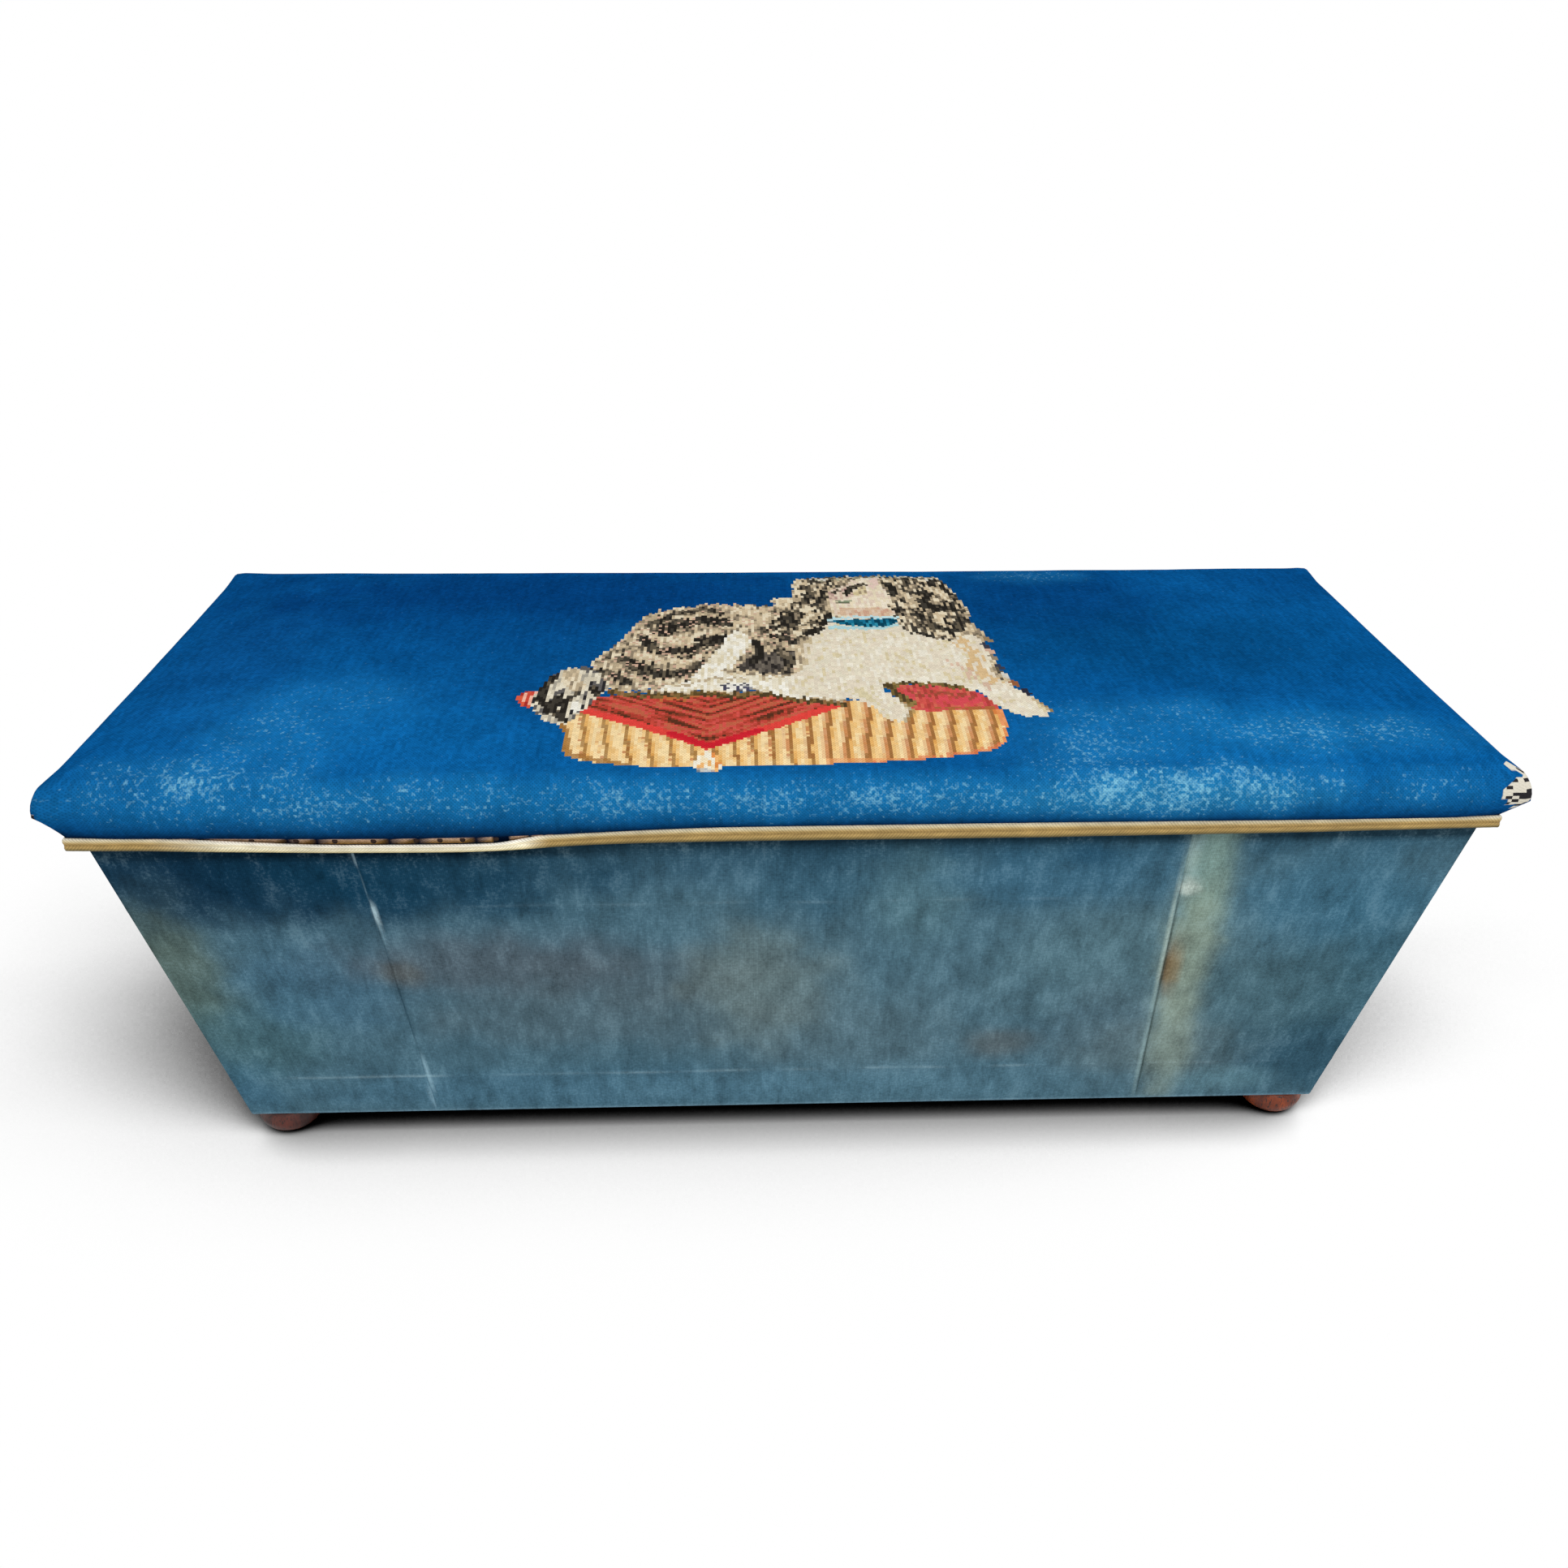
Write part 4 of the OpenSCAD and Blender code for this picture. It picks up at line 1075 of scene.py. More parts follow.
def pinched(ring, from_corner):
    """A ring's inset, height, rounding and draw at a distance from the nearest corner."""
    inset, height, rounding, draw, pinch = ring
    share = min(max(1 - from_corner / PINCH_REACH, 0), 1)
    return inset + pinch * share ** 2 * (3 - 2 * share), height, rounding, draw


def on_ring(ring, quarter, share, corner):
    """A point of a ring: share of the way along a corner's arc or a side's straight part."""
    length = 2 * (LID_X if quarter % 2 == 0 else LID_Y)
    inset, height, rounding, draw = pinched(ring, 0 if corner else
                                            length * min(share, 1 - share))
    sx, sy = (1 if quarter in (0, 3) else -1), (1 if quarter < 2 else -1)
    straight = Vector((LID_X - inset - rounding, LID_Y - inset - rounding))
    if corner:
        turn = math.pi / 2 * (quarter + share)
        return Vector((sx * straight.x + rounding * math.cos(turn),
                       sy * straight.y + rounding * math.sin(turn), height))
    bow = 4 * share * (1 - share)
    if quarter % 2 == 0:
        return Vector((sx * straight.x * (1 - 2 * share),
                       sy * (straight.y + rounding - draw * bow), height))
    return Vector((sx * (straight.x + rounding - draw / 2 * bow),
                   sy * straight.y * (1 - 2 * share), height))


def stuffing_form():
    """The lid's closed form, a little smaller than the cover, as an even mesh."""
    rings = roll_profile(FORM_IN, range(0, 91, 15), range(10, 91, 10))
    start = FORM_IN + SHOULDER_WIDTH
    for k in range(1, 9):
        share = k / 8
        rings.append((start + (LID_Y - CROWN_END - start) * share,
                      SHOULDER_LEVEL - FORM_IN + CROWN_RISE * (1 - (1 - share) ** 2),
                      LID_ROUNDING - FORM_IN, LONG_DRAW * (1 - share), 0.0))
    around = [place for q in range(4) for place in
              [(q, k / 6, True) for k in range(7)]
              + [(q, k / 24, False) for k in range(1, 24)]]
    around.append(around[0])
    bm = bmesh.new()
    bmesh.ops.create_grid(bm, x_segments=len(around) - 1, y_segments=len(rings) - 1, size=0.5)
    for k, vert in enumerate(bm.verts):
        vert.co = on_ring(rings[k // len(around)], *around[k % len(around)])
    bmesh.ops.remove_doubles(bm, verts=bm.verts, dist=0.001 * MM)
    close_up(bm)
    made = finish_mesh("curled_hair_pad", bm)
    even = made.modifiers.new("even", "REMESH")
    even.mode, even.voxel_size = "VOXEL", VOXEL
    apply_modifiers(made)
    return made


def apply_modifiers(piece):
    """Makes a piece's modifiers part of its mesh."""
    depsgraph = bpy.context.evaluated_depsgraph_get()
    mesh = bpy.data.meshes.new_from_object(piece.evaluated_get(depsgraph))
    piece.modifiers.clear()
    old = piece.data
    piece.data = mesh
    bpy.data.meshes.remove(old)


def vertex_places(mesh):
    flat = np.empty(3 * len(mesh.vertices), np.float64)
    mesh.vertices.foreach_get("co", flat)
    return flat.reshape(-1, 3)


def vertex_normals(mesh):
    flat = np.empty(3 * len(mesh.vertices), np.float64)
    mesh.vertex_normals.foreach_get("vector", flat)
    return flat.reshape(-1, 3)


def swell(piece):
    """Blows the pad up under cloth tension, with its lower edge held on the frame."""
    mesh = piece.data
    start = vertex_places(mesh)
    normals = vertex_normals(mesh)
    free = np.clip((start[:, 2] - BRAID_TOP) / HOLD_REACH, 0, 1)
    lumps = np.array([blurred(x, y, LUMP_SIZE, 1.5) + 0.45 * blurred(x, y, LUMP_SIZE / 3, 7.5)
                      for x, y in start[:, :2]])
    from_edge = np.minimum(LID_X - abs(start[:, 0]), LID_Y - abs(start[:, 1]))
    lumps *= np.clip(from_edge / EDGE_EASE, 0.2, 1)
    lumped = start + normals * (LUMP_RISE * lumps * free)[:, None]
    mesh.vertices.foreach_set("co", lumped.ravel())
    held = piece.vertex_groups.new(name="held")
    held.add([int(k) for k in np.flatnonzero(free <= 0.05)], 1.0, "REPLACE")
    cloth = piece.modifiers.new("cloth", "CLOTH")
    cloth.settings.quality = 4
    cloth.settings.mass = 0.3
    cloth.settings.vertex_group_mass = "held"
    cloth.settings.use_pressure = True
    cloth.settings.uniform_pressure_force = PAD_PRESSURE
    cloth.settings.effector_weights.gravity = 0
    for step in range(1, SWELL_STEPS + 1):
        scene.frame_set(step)
    depsgraph = bpy.context.evaluated_depsgraph_get()
    moved = vertex_places(piece.evaluated_get(depsgraph).data) - lumped
    piece.modifiers.clear()
    piece.vertex_groups.clear()
    scene.frame_set(1)
    short = np.maximum(LEAST_SWELL * free - (moved * normals).sum(1), 0)
    moved = moved + normals * short[:, None]
    length = np.maximum(np.linalg.norm(moved, axis=1), 1e-9)
    moved *= (np.minimum(length, SWELL_CAP) / length)[:, None]
    mesh.vertices.foreach_set("co", (lumped + moved).ravel())
    mesh.update()


hair_pad = stuffing_form()
swell(hair_pad)
cover_form = bpy.data.objects.new("cover_form", hair_pad.data.copy())
scene.collection.objects.link(cover_form)
smooth = cover_form.modifiers.new("smooth", "SUBSURF")
smooth.levels = smooth.render_levels = 1
apply_modifiers(cover_form)
FORM = BVHTree.FromPolygons([v.co.copy() for v in cover_form.data.vertices],
                            [p.vertices[:] for p in cover_form.data.polygons])
bpy.data.meshes.remove(cover_form.data)
form_places, form_normals = vertex_places(hair_pad.data), vertex_normals(hair_pad.data)
hair_pad.data.vertices.foreach_set("co", (form_places - COVER_LAYERS * form_normals).ravel())
frame_room = bmesh.new()
bmesh.ops.create_cube(frame_room, size=1)
bmesh.ops.transform(frame_room, verts=frame_room.verts, matrix=Matrix.LocRotScale(
    (0, 0, (RAIL_BOTTOM + hessian_high.z) / 2), None,
    (2 * RAIL_X, 2 * RAIL_Y, hessian_high.z + 0.2 * MM - RAIL_BOTTOM)))
frame_block = finish_mesh("frame_block", frame_room)
cut = hair_pad.modifiers.new("frame_room", "BOOLEAN")
cut.object, cut.operation = frame_block, "DIFFERENCE"
apply_modifiers(hair_pad)
bpy.data.meshes.remove(frame_block.data)

curled_hair, hair_tree, hair_shader = material("curled_horsehair", Roughness=0.75,
                                               Specular_IOR_Level=0.4)
hair_place = add(hair_tree, "TexCoord").outputs["Object"]
curls = add(hair_tree, "TexNoise", {"Vector": hair_place, "Scale": 1 / (4 * MM), "Detail": 6.0,
                                    "Roughness": 0.7, "Distortion": 3.0}).outputs["Fac"]
hair_tone = add(hair_tree, "Mix", {"Factor": curls, "A": colour("#15100d"),
                                   "B": colour("#5a4636")}, data_type="RGBA")
finish_shader(hair_tree, hair_shader, hair_tone.outputs["Result"], curls, 0.9, 2 * MM)
hair_pad.data.materials.clear()
hair_pad.data.materials.append(curled_hair)
hair_pad.data.shade_smooth()
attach(hair_pad, "lid")
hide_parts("hair_pad")

# The calico cover: strong unbleached cotton, pulled down over the hair and tacked to the rails.
CORNER_REACH = 20 * MM
CORNER_HELD = 35 * MM
UNDER_TURNS = (0, 8, 20, 38, 56, 75, 90)
SHOULDER_TURNS = (14, 25, 35, 45, 55)


def on_roll(u, v, half_u, half_v, ring, lower_inset):
    """The point of a ring that a place on the flat top's edge reaches as the cover is pulled
    down. Near a corner the cloth closes up round it."""
    long_side = abs(v) >= half_v - 1e-6
    end_side = abs(u) >= half_u - 1e-6
    su, sv = math.copysign(1, u), math.copysign(1, v)
    inset, height, rounding, draw = pinched(ring, half_u - abs(u) if long_side
                                            else half_v - abs(v))
    if height <= BRAID_TOP:
        inset += lower_inset
    if long_side and end_side:
        turn = math.pi / 4
        return Vector((su * (LID_X - inset - rounding + rounding * math.sin(turn)),
                       sv * (LID_Y - inset - rounding + rounding * math.cos(turn)), height))
    along, half, reach, wide = ((abs(u), half_u, LID_X, LID_Y) if long_side
                                else (abs(v), half_v, LID_Y, LID_X))
    straight = reach - inset - rounding
    start = half - CORNER_REACH
    if along <= start:
        share = 0.5 + 0.5 * along / straight
        bow = (draw if long_side else draw / 2) * 4 * share * (1 - share)
        pair = (along, wide - inset - bow)
    else:
        past = (along - start) / CORNER_REACH * (straight - start + rounding * math.pi / 4)
        turn = max(0, past - (straight - start)) / rounding
        share = 0.5 + 0.5 * min(1, (start + past) / straight)
        bow = (draw if long_side else draw / 2) * 4 * share * (1 - share)
        pair = (min(start + past, straight) + rounding * math.sin(turn),
                wide - inset - bow - rounding * (1 - math.cos(turn)))
    x, y = pair if long_side else pair[::-1]
    return Vector((su * x, sv * y, height))


def braid_line(point):
    """The distance along the braid's line, from the front left corner, of the nearest place."""
    gaps = (LID_Y + point.y, LID_X - point.x, LID_Y - point.y, LID_X + point.x)
    side = gaps.index(min(gaps))
    along = (point.x + BRAID_X, point.y + BRAID_Y, BRAID_X - point.x, BRAID_Y - point.y)[side]
    return (0, 2 * BRAID_X, 2 * (BRAID_X + BRAID_Y), 2 * (2 * BRAID_X + BRAID_Y))[side] + along


def cover_sheet(name, columns, rows, depth, lower_inset, thick, *finishes):
    """A cover: its top lies on a flat grid over the stuffing, and its sides follow the roll
    down to the face of the frame, where its edge is turned in."""
    bm = bmesh.new()
    layer = bm.loops.layers.uv.new("flat")
    made = bmesh.ops.create_grid(bm, x_segments=len(columns) - 1, y_segments=len(rows) - 1,
                                 size=0.5)
    seeds = {}
    for k, vert in enumerate(made["verts"]):
        u, v = columns[k % len(columns)], rows[k // len(columns)]
        seeds[vert] = (u, v, 0.0)
        hit, normal = FORM.ray_cast(Vector((u, v, 1)), Vector((0, 0, -1)))[:2]
        vert.co = hit - normal * depth
    for face in bm.faces:
        for loop in face.loops:
            loop[layer].uv = seeds[loop.vert][:2]
    rings = roll_profile(0, UNDER_TURNS, SHOULDER_TURNS)[::-1]
    rings.append((TUCK_IN + thick + 0.3 * MM, MARGIN_LEVEL, TUCK_ROUNDING, 0.0, 0.0))
    edge = [e for e in bm.edges if e.is_boundary]
    travel = 0.0
    for ring in rings:
        grown = bmesh.ops.extrude_edge_only(bm, edges=edge)["geom"]
        fresh = {g for g in grown if isinstance(g, bmesh.types.BMVert)}
        origins = {vert: next(e.other_vert(vert) for e in vert.link_edges
                              if e.other_vert(vert) not in fresh) for vert in fresh}
        for vert, old in origins.items():
            u, v = seeds[old][:2]
            point = on_roll(u, v, columns[-1], rows[-1], ring, lower_inset)
            slipped = min(max((WIDE_LEVEL - ring[1]) / (WIDE_LEVEL - BRAID_TOP), 0), 1) ** 2
            foot_drop = slipped * dropped(FOOT_DROPS, braid_line(point))
            if ring[1] > BRAID_TOP + 1e-6:
                near, normal = FORM.find_nearest(point)[:2]
                near = near - normal * depth
                corner = math.hypot(LID_X - abs(point.x), LID_Y - abs(point.y))
                held = max(1 - (ring[1] - BRAID_TOP) / (6 * MM),
                           1.4 - corner / CORNER_HELD, 0.0)
                point -= Vector((math.copysign(depth, u), math.copysign(depth, v), 0))
                point = near.lerp(point, min(1.0, held))
            point.z -= foot_drop * (1 if ring[1] > MARGIN_LEVEL + 1e-6 else MARGIN_FOLLOWS)
            vert.co = point
        middle = min(fresh, key=lambda f: abs(seeds[origins[f]][0]) + f.co.y)
        travel += (middle.co - origins[middle].co).length
        for vert, old in origins.items():
            seeds[vert] = seeds[old][:2] + (travel,)
        edge = [g for g in grown if isinstance(g, bmesh.types.BMEdge) and g.is_boundary]
        for face in {f for v in fresh for f in v.link_faces}:
            mean_u = sum(seeds[v][0] for v in face.verts) / 4
            on_end = abs(abs(mean_u) - columns[-1]) < 1e-6
            for loop in face.loops:
                u, v, gone = seeds[loop.vert]
                loop[layer].uv = ((u + math.copysign(gone, u), v) if on_end
                                  else (u, v + math.copysign(gone, v)))
    bm.normal_update()
    cover = finish_mesh(name, bm, *finishes)
    thicken(cover, thick)
    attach(cover, "lid")
    return cover, travel


STITCH = 3.2 * MM
TOP_X, TOP_Y = 200 * STITCH, 76 * STITCH
calico_columns = [TOP_X * (k / 50 - 1) for k in range(101)]
calico_rows = [TOP_Y * (k / 19 - 1) for k in range(39)]
unbleached = cotton("unbleached_calico", "#d6c8a6", "#b49a6c")
calico, calico_travel = cover_sheet("calico_over_hair", calico_columns, calico_rows, 1.3 * MM,
                                    1.1 * MM, 0.7 * MM, unbleached)
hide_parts("calico_cover")

# The woolwork: a spaniel on a tasselled cushion in cross stitch, on a cobalt ground, in wool
# on canvas. First the figure, drawn as a chart: one colour to a stitch.
CHART_LEFT, CHART_RIGHT, CHART_HALF = -85, 80, 76
FIGURE_SHIFT = ([-243, -200, -120, 0, 80, 135, 190, 225, 243],
                [-4, 2, 9.5, 15.5, 18, 18.5, 14, 10, 8])
chart_columns, chart_rows = CHART_RIGHT - CHART_LEFT, 2 * CHART_HALF
chart = np.zeros((chart_rows, chart_columns, 4))
chart_x, chart_y = np.meshgrid(
    (np.arange(CHART_LEFT, CHART_RIGHT) + 0.5) * STITCH / MM,
    (np.arange(-CHART_HALF, CHART_HALF) + 0.5) * STITCH / MM)
chart_y += np.interp(chart_y, *FIGURE_SHIFT)
chance = np.random.default_rng(41)
stroke_shift = chance.integers(0, 3, chart_columns)
stroke_rows = (np.arange(chart_rows)[:, None] + stroke_shift[None, :]) // 3
stroke_values = chance.random((chart_rows, chart_columns))
STROKES = stroke_values[stroke_rows, np.arange(chart_columns)[None, :]]
SPECKS = chance.random((chart_rows, chart_columns))
RAGGED = chance.uniform(-1, 1, chart_columns)[None, :] + 0 * chart_x
EVERYWHERE = np.ones(chart_x.shape, bool)
FUR = ("#26231f", "#3d3932", "#5f5647", "#8d7f6a", "#b3a285", "#cbb898", "#ddd0b4")


def rounded_outline(corners, steps=4):
    """A smooth closed line through the given corners."""
    points = np.array(corners, float)
    before, after, next_after = (np.roll(points, s, 0) for s in (1, -1, -2))
    line = []
    for k in range(steps):
        t = k / steps
        line.append(0.5 * (2 * points + (after - before) * t
                           + (2 * before - 5 * points + 4 * after - next_after) * t ** 2
                           + (3 * points - before - 3 * after + next_after) * t ** 3))
    return np.stack(line, 1).reshape(-1, 2)


def inside(corners, ragged=0.0, sharp=False):
    """Which stitches lie inside an outline; ragged moves its edge up and down by column."""
    line = np.array(corners, float) if sharp else rounded_outline(corners)
    y = chart_y + ragged * RAGGED
    within = np.zeros(chart_x.shape, bool)
    for (x0, y0), (x1, y1) in zip(line, np.roll(line, -1, 0)):
        crosses = (y0 > y) != (y1 > y)
        if crosses.any():
            at = x0 + (y - y0) * (x1 - x0) / ((y1 - y0) or 1e-9)
            within ^= crosses & (chart_x < at)
    return within


def near(corners, half, ragged=0.0):
    """Which stitches lie within a distance of an open line."""
    y = chart_y + ragged * RAGGED
    closest = np.full(chart_x.shape, 1e9)
    for (x0, y0), (x1, y1) in zip(corners, corners[1:]):
        dx, dy = x1 - x0, y1 - y0
        t = np.clip(((chart_x - x0) * dx + (y - y0) * dy) / (dx * dx + dy * dy), 0, 1)
        closest = np.minimum(closest, np.hypot(chart_x - x0 - t * dx, y - y0 - t * dy))
    return closest < half


def lay(where, code, share=1.0):
    chart[where, :3] += (rgb(code) - chart[where, :3]) * share
    chart[where, 3] = 1.0


def shaded(where, tone, spread, codes=FUR, values=STROKES):
    """Lays a run of colours from dark to pale; each short upright stroke takes one at chance
    round the tone."""
    level = np.clip(tone + spread * (values - 0.5), 0, 0.999) * np.ones(chart_x.shape)
    pick = (level * len(codes)).astype(int)
    for k, code in enumerate(codes):
        lay(where & (pick == k), code)


def stroked(where, strokes, ragged, tone=None, spread=0.45):
    """Lays short strokes over an area; strokes holds lines, half widths and tones, or the
    tone is one for all."""
    for line, half, *own in strokes:
        shaded(where & near(line, half, ragged), own[0] if own else tone, spread)


# The cushion: its ribbed gold front, the red cover's point, and the red top behind
cushion = inside([(-214, -132), (-207, -180), (-203, -214), (-150, -229), (-75, -234),
    (50, -230), (150, -219), (188, -206), (200, -172), (196, -126), (130, -116), (0, -112),
    (-110, -112)])
GOLD = ("#cf9750", "#dba963", "#e2b877", "#e6c288", "#ead09e")
RIB_PITCH = 19.5
rib_lean = 0.2 * (-120 - chart_y) * np.clip(1 - (chart_x + 60) / 120, 0, 1)
rib_bend = rib_lean + 4 * np.sin((chart_y + 175) / 36)
rib_phase = ((chart_x - rib_bend + 200) / RIB_PITCH) % 1
shaded(cushion, 0.28 + 0.6 * np.sin(math.pi * rib_phase), 0.3, GOLD)
rib_right = np.clip((chart_x + 70) / 120, 0, 1)
russet = cushion & (rib_phase > 0.5) & (chart_y > -220) & (SPECKS < 0.15 + rib_right)
lay(russet, "#b8683a", 0.3)
lay(russet & (rib_phase > 0.66), "#b0582e", 0.5)
lay(cushion & (rib_phase > 0.8), "#8a6234", 0.7)
lay(cushion & (chart_y < -220) & (chart_x > 30), "#d98a55", 0.6)
lay(cushion & near([(70, -232), (150, -220), (190, -206)], 4, 3), "#d4714a", 0.7)
lay(cushion & near([(196, -206), (202, -170), (197, -130)], 5), "#d8763f", 0.75)
lay(cushion & near([(-214, -140), (-206, -185), (-202, -212), (-150, -228)], 3), "#9a6a34", 0.8)
red_point = inside([(-206, -122), (-182, -98), (-120, -92), (-60, -90), (0, -98), (50, -116),
    (38, -132), (-20, -166), (-77, -204), (-110, -182), (-160, -148)], sharp=True)
RED = ("#553020", "#7c3826", "#a63e30", "#bd463a", "#ca5048", "#b85e44")
to_rim = chart_y + 204 - 0.67 * np.abs(chart_x + 77)
flow = np.array([[blurred(x, 0.16 * y, 7, 4) for x, y in zip(*rows)] for rows in zip(to_rim,
    chart_x)])
shaded(red_point, 0.58 + 0.95 * flow, 0.35, RED)
lay(red_point & near([(-120, -98), (-60, -96), (-10, -102)], 5, 6) & (STROKES > 0.3), "#b8683c")
lay(near([(-196, -128), (-140, -158), (-77, -200), (-20, -166), (44, -122)], 5.5), "#d8433c")
lay(near([(-110, -176), (-77, -200), (-30, -172)], 5), "#c4232f")
behind = inside([(104, -84), (140, -76), (172, -86), (190, -104), (197, -132), (160, -134),
    (122, -134), (112, -112)])
shaded(behind, 0.55, 1.0, ("#a8403a", "#bd4a42", "#c8524a", "#cc6352", "#c94a50"))
lay(behind & near([(150, -112), (190, -108)], 9, 4) & (STROKES > 0.3), "#cf4a52")
lay(behind & near([(120, -100), (150, -96), (176, -104)], 3, 5), "#8f4a34", 0.8)
lay(behind & near([(140, -128), (196, -131)], 3) & (SPECKS > 0.2), "#a8623a")

# Its tassels: one hangs at the red point, one lies behind the tail
tassel = inside([(-88, -222), (-77, -206), (-66, -222), (-66, -240), (-77, -243), (-88, -238)])
shaded(tassel, 0.6, 0.9, ("#d98a4a", "#e6b06f", "#ead9b5", "#e8e2cf"))
lay(near([(-84, -240), (-72, -242)], 3), "#8f9fae", 0.6)
knot = inside([(-258, -90), (-246, -84), (-242, -104), (-246, -122), (-256, -116), (-262, -100)])
shaded(knot, 0.5, 1.0, ("#a8302a", "#c84a3a", "#d4593f", "#e8b09a"))

# The spaniel: body, haunch, tail, chest, legs, head and ears
body = inside([(-195, -50), (-196, -10), (-180, 18), (-167, 55), (-157, 90), (-140, 118),
    (-110, 133), (-60, 138), (-8, 134), (10, 150), (18, 187), (60, 200), (150, 200), (196, 170),
    (203, 120), (206, 80), (214, 50), (212, 20), (216, -13), (214, -43), (224, -78), (190, -92),
    (150, -80), (98, -76), (60, -108), (20, -108), (-30, -92), (-60, -90), (-120, -86),
    (-165, -84), (-190, -70)], 6)
patchy = np.array([[blurred(x, y, 26, 3) + 1.5 * blurred(x + 0.5 * y,
    0.5 * y - x, 9, 8) * (0.6 + blurred(x, y, 40, 2)) for x,
    y in zip(*rows)] for rows in zip(chart_x, chart_y)])
shaded(body, 0.66 + 0.3 * patchy, 0.5)
DARK_BANDS = [([(-138, 92), (-118, 116), (-84, 124), (-70, 112)], 6, 0.22),
    ([(-130, 62), (-120, 84), (-98, 92), (-66, 86)], 12, 0.12),
    ([(-148, 40), (-136, 18), (-112, 12), (-84, 24), (-60, 44)], 8, 0.16),
    ([(-88, 38), (-62, 44)], 8, 0.12), ([(-168, -8), (-150, -30), (-140, -48)], 8, 0.2),
    ([(-146, -26), (-120, -46), (-100, -40), (-88, -28)], 9, 0.16),
    ([(-192, -40), (-170, -50), (-160, -64)], 7, 0.25),
    ([(-110, -8), (-86, 8), (-66, 0)], 5, 0.3), ([(-16, 72), (-8, 48), (8, 38)], 9, 0.15),
    ([(0, 110), (8, 84), (16, 62)], 7, 0.25)]
stroked(body, DARK_BANDS, 7, spread=0.5)
stroked(body, (([(-150, 62), (-134, 46), (-100, 48), (-72, 60)], 6),
    ([(-152, 0), (-126, -12), (-100, -14), (-80, -2)], 6), ([(-118, 104), (-90, 106)], 4),
    ([(-50, 120), (-20, 100), (-8, 60)], 8)), 6, 0.84, 0.4)
lay(body & (SPECKS > 0.93) & (chart_x < 10), "#c9a68f")
dark_side = inside([(-34, 62), (-24, 20), (-30, 0), (-50, -36), (-30, -46), (-16, -50),
    (4, -46), (8, -20), (10, 20), (14, 40), (-6, 30), (-14, 50)], 6)
dark_side &= chart_y < 6 + 8 * RAGGED
shaded(dark_side, 0.42, 0.7, ("#2a2725", "#3f3a36", "#5c554d", "#6f675c", "#a3927a"))
shaded(body & near([(-30, 30), (-26, 0), (-34, -24)], 5, 4), 0.1, 0.3)
shaded(body & near([(-6, 10), (4, -10), (0, -40)], 6, 8), 0.25, 0.5)
WHITES = ("#bfae8d", "#d3c8ab", "#ddd5bf", "#e4dfcf", "#e9e6da")
haunch = inside([(-60, 52), (-46, 62), (-38, 40), (-36, 22), (-48, -8), (-52, -30), (-66, -42),
    (-40, -54), (0, -56), (30, -60), (60, -84), (40, -104), (0, -100), (-34, -88), (-62, -86),
    (-124, -84), (-122, -74), (-98, -58), (-84, -28), (-72, 8), (-64, 30)], 5)
shaded(haunch, 0.62, 0.8, WHITES)
lay(haunch & near([(-110, -72), (-70, -58), (-20, -62)], 3, 4) & (STROKES > 0.5), "#b3a285")
claws = inside([(-66, -72), (-56, -68), (-38, -70), (-34, -80), (-44, -88), (-58, -86)])
shaded(claws, 0.6, 1.2, ("#4b4c55", "#8d8c8e", "#dcd8cf", "#e9e6da"), SPECKS)
for at in ((-62, -76), (-50, -78), (-41, -80)):
    lay(near([at, (at[0] + 1, at[1] - 6)], 2.4), "#46465a")
tail = inside([(-196, -30), (-222, -32), (-234, -48), (-242, -76), (-246, -104), (-240, -132),
    (-224, -152), (-206, -154), (-200, -140), (-192, -120), (-184, -100), (-176, -82),
    (-182, -60)], 3)
shaded(tail, 0.55, 0.9, ("#2b2a2c", "#5f5c5a", "#a59f90", "#cbc2ac", "#ddd5bf"))
stroked(tail, (([(-238, -70), (-240, -100), (-226, -130)], 5),
    ([(-222, -98), (-228, -122), (-212, -146)], 5),
    ([(-204, -92), (-216, -106), (-214, -130)], 4), ([(-192, -76), (-184, -98)], 4),
    ([(-232, -52), (-238, -66)], 5)), 3, 0.12, 0.4)
shaded(tail & near([(-216, -40), (-214, -62), (-206, -76)], 9), 0.75, 0.5, FUR)
shaded(tail & near([(-204, -112), (-202, -128)], 4), 0.9, 0.3, WHITES)
chest = inside([(30, 56), (40, 84), (60, 98), (120, 98), (128, 70), (150, 42), (182, 38),
    (202, 50), (208, 20), (210, -13), (206, -46), (214, -72), (236, -110), (246, -136),
    (238, -152), (216, -146), (198, -124), (187, -97), (172, -80), (140, -72), (98, -74),
    (92, -88), (106, -110), (114, -134), (105, -156), (92, -150), (76, -124), (62, -108),
    (44, -106), (20, -100), (0, -84), (-2, -62), (12, -40), (18, -10), (20, 24)], 4)
CREAMS = ("#c2b084", "#d0c3a0", "#d8cdb8", "#dbd3bd", "#e2dccb")
shaded(chest, 0.62 + 0.22 * patchy, 0.5, CREAMS)
lay(chest & near([(24, 40), (18, 0), (14, -40)], 6, 5) & (STROKES > 0.35), "#b9a67f", 0.8)
lay(chest & near([(186, 30), (196, 0), (192, -40), (206, -70)], 9, 6) & (STROKES > 0.4),
    "#cfae7c", 0.9)
lay(chest & near([(170, -20), (186, -60), (200, -90)], 6, 6) & (STROKES > 0.62), "#c9a68f", 0.8)
lay(chest & near([(60, -80), (84, -112)], 7, 5) & (STROKES > 0.5), "#cbbf98", 0.8)
lay(near([(108, -116), (116, -134), (107, -154)], 2.6), "#8f7a4e", 0.6)
lay(near([(236, -112), (247, -137)], 2.6), "#a98f62", 0.7)
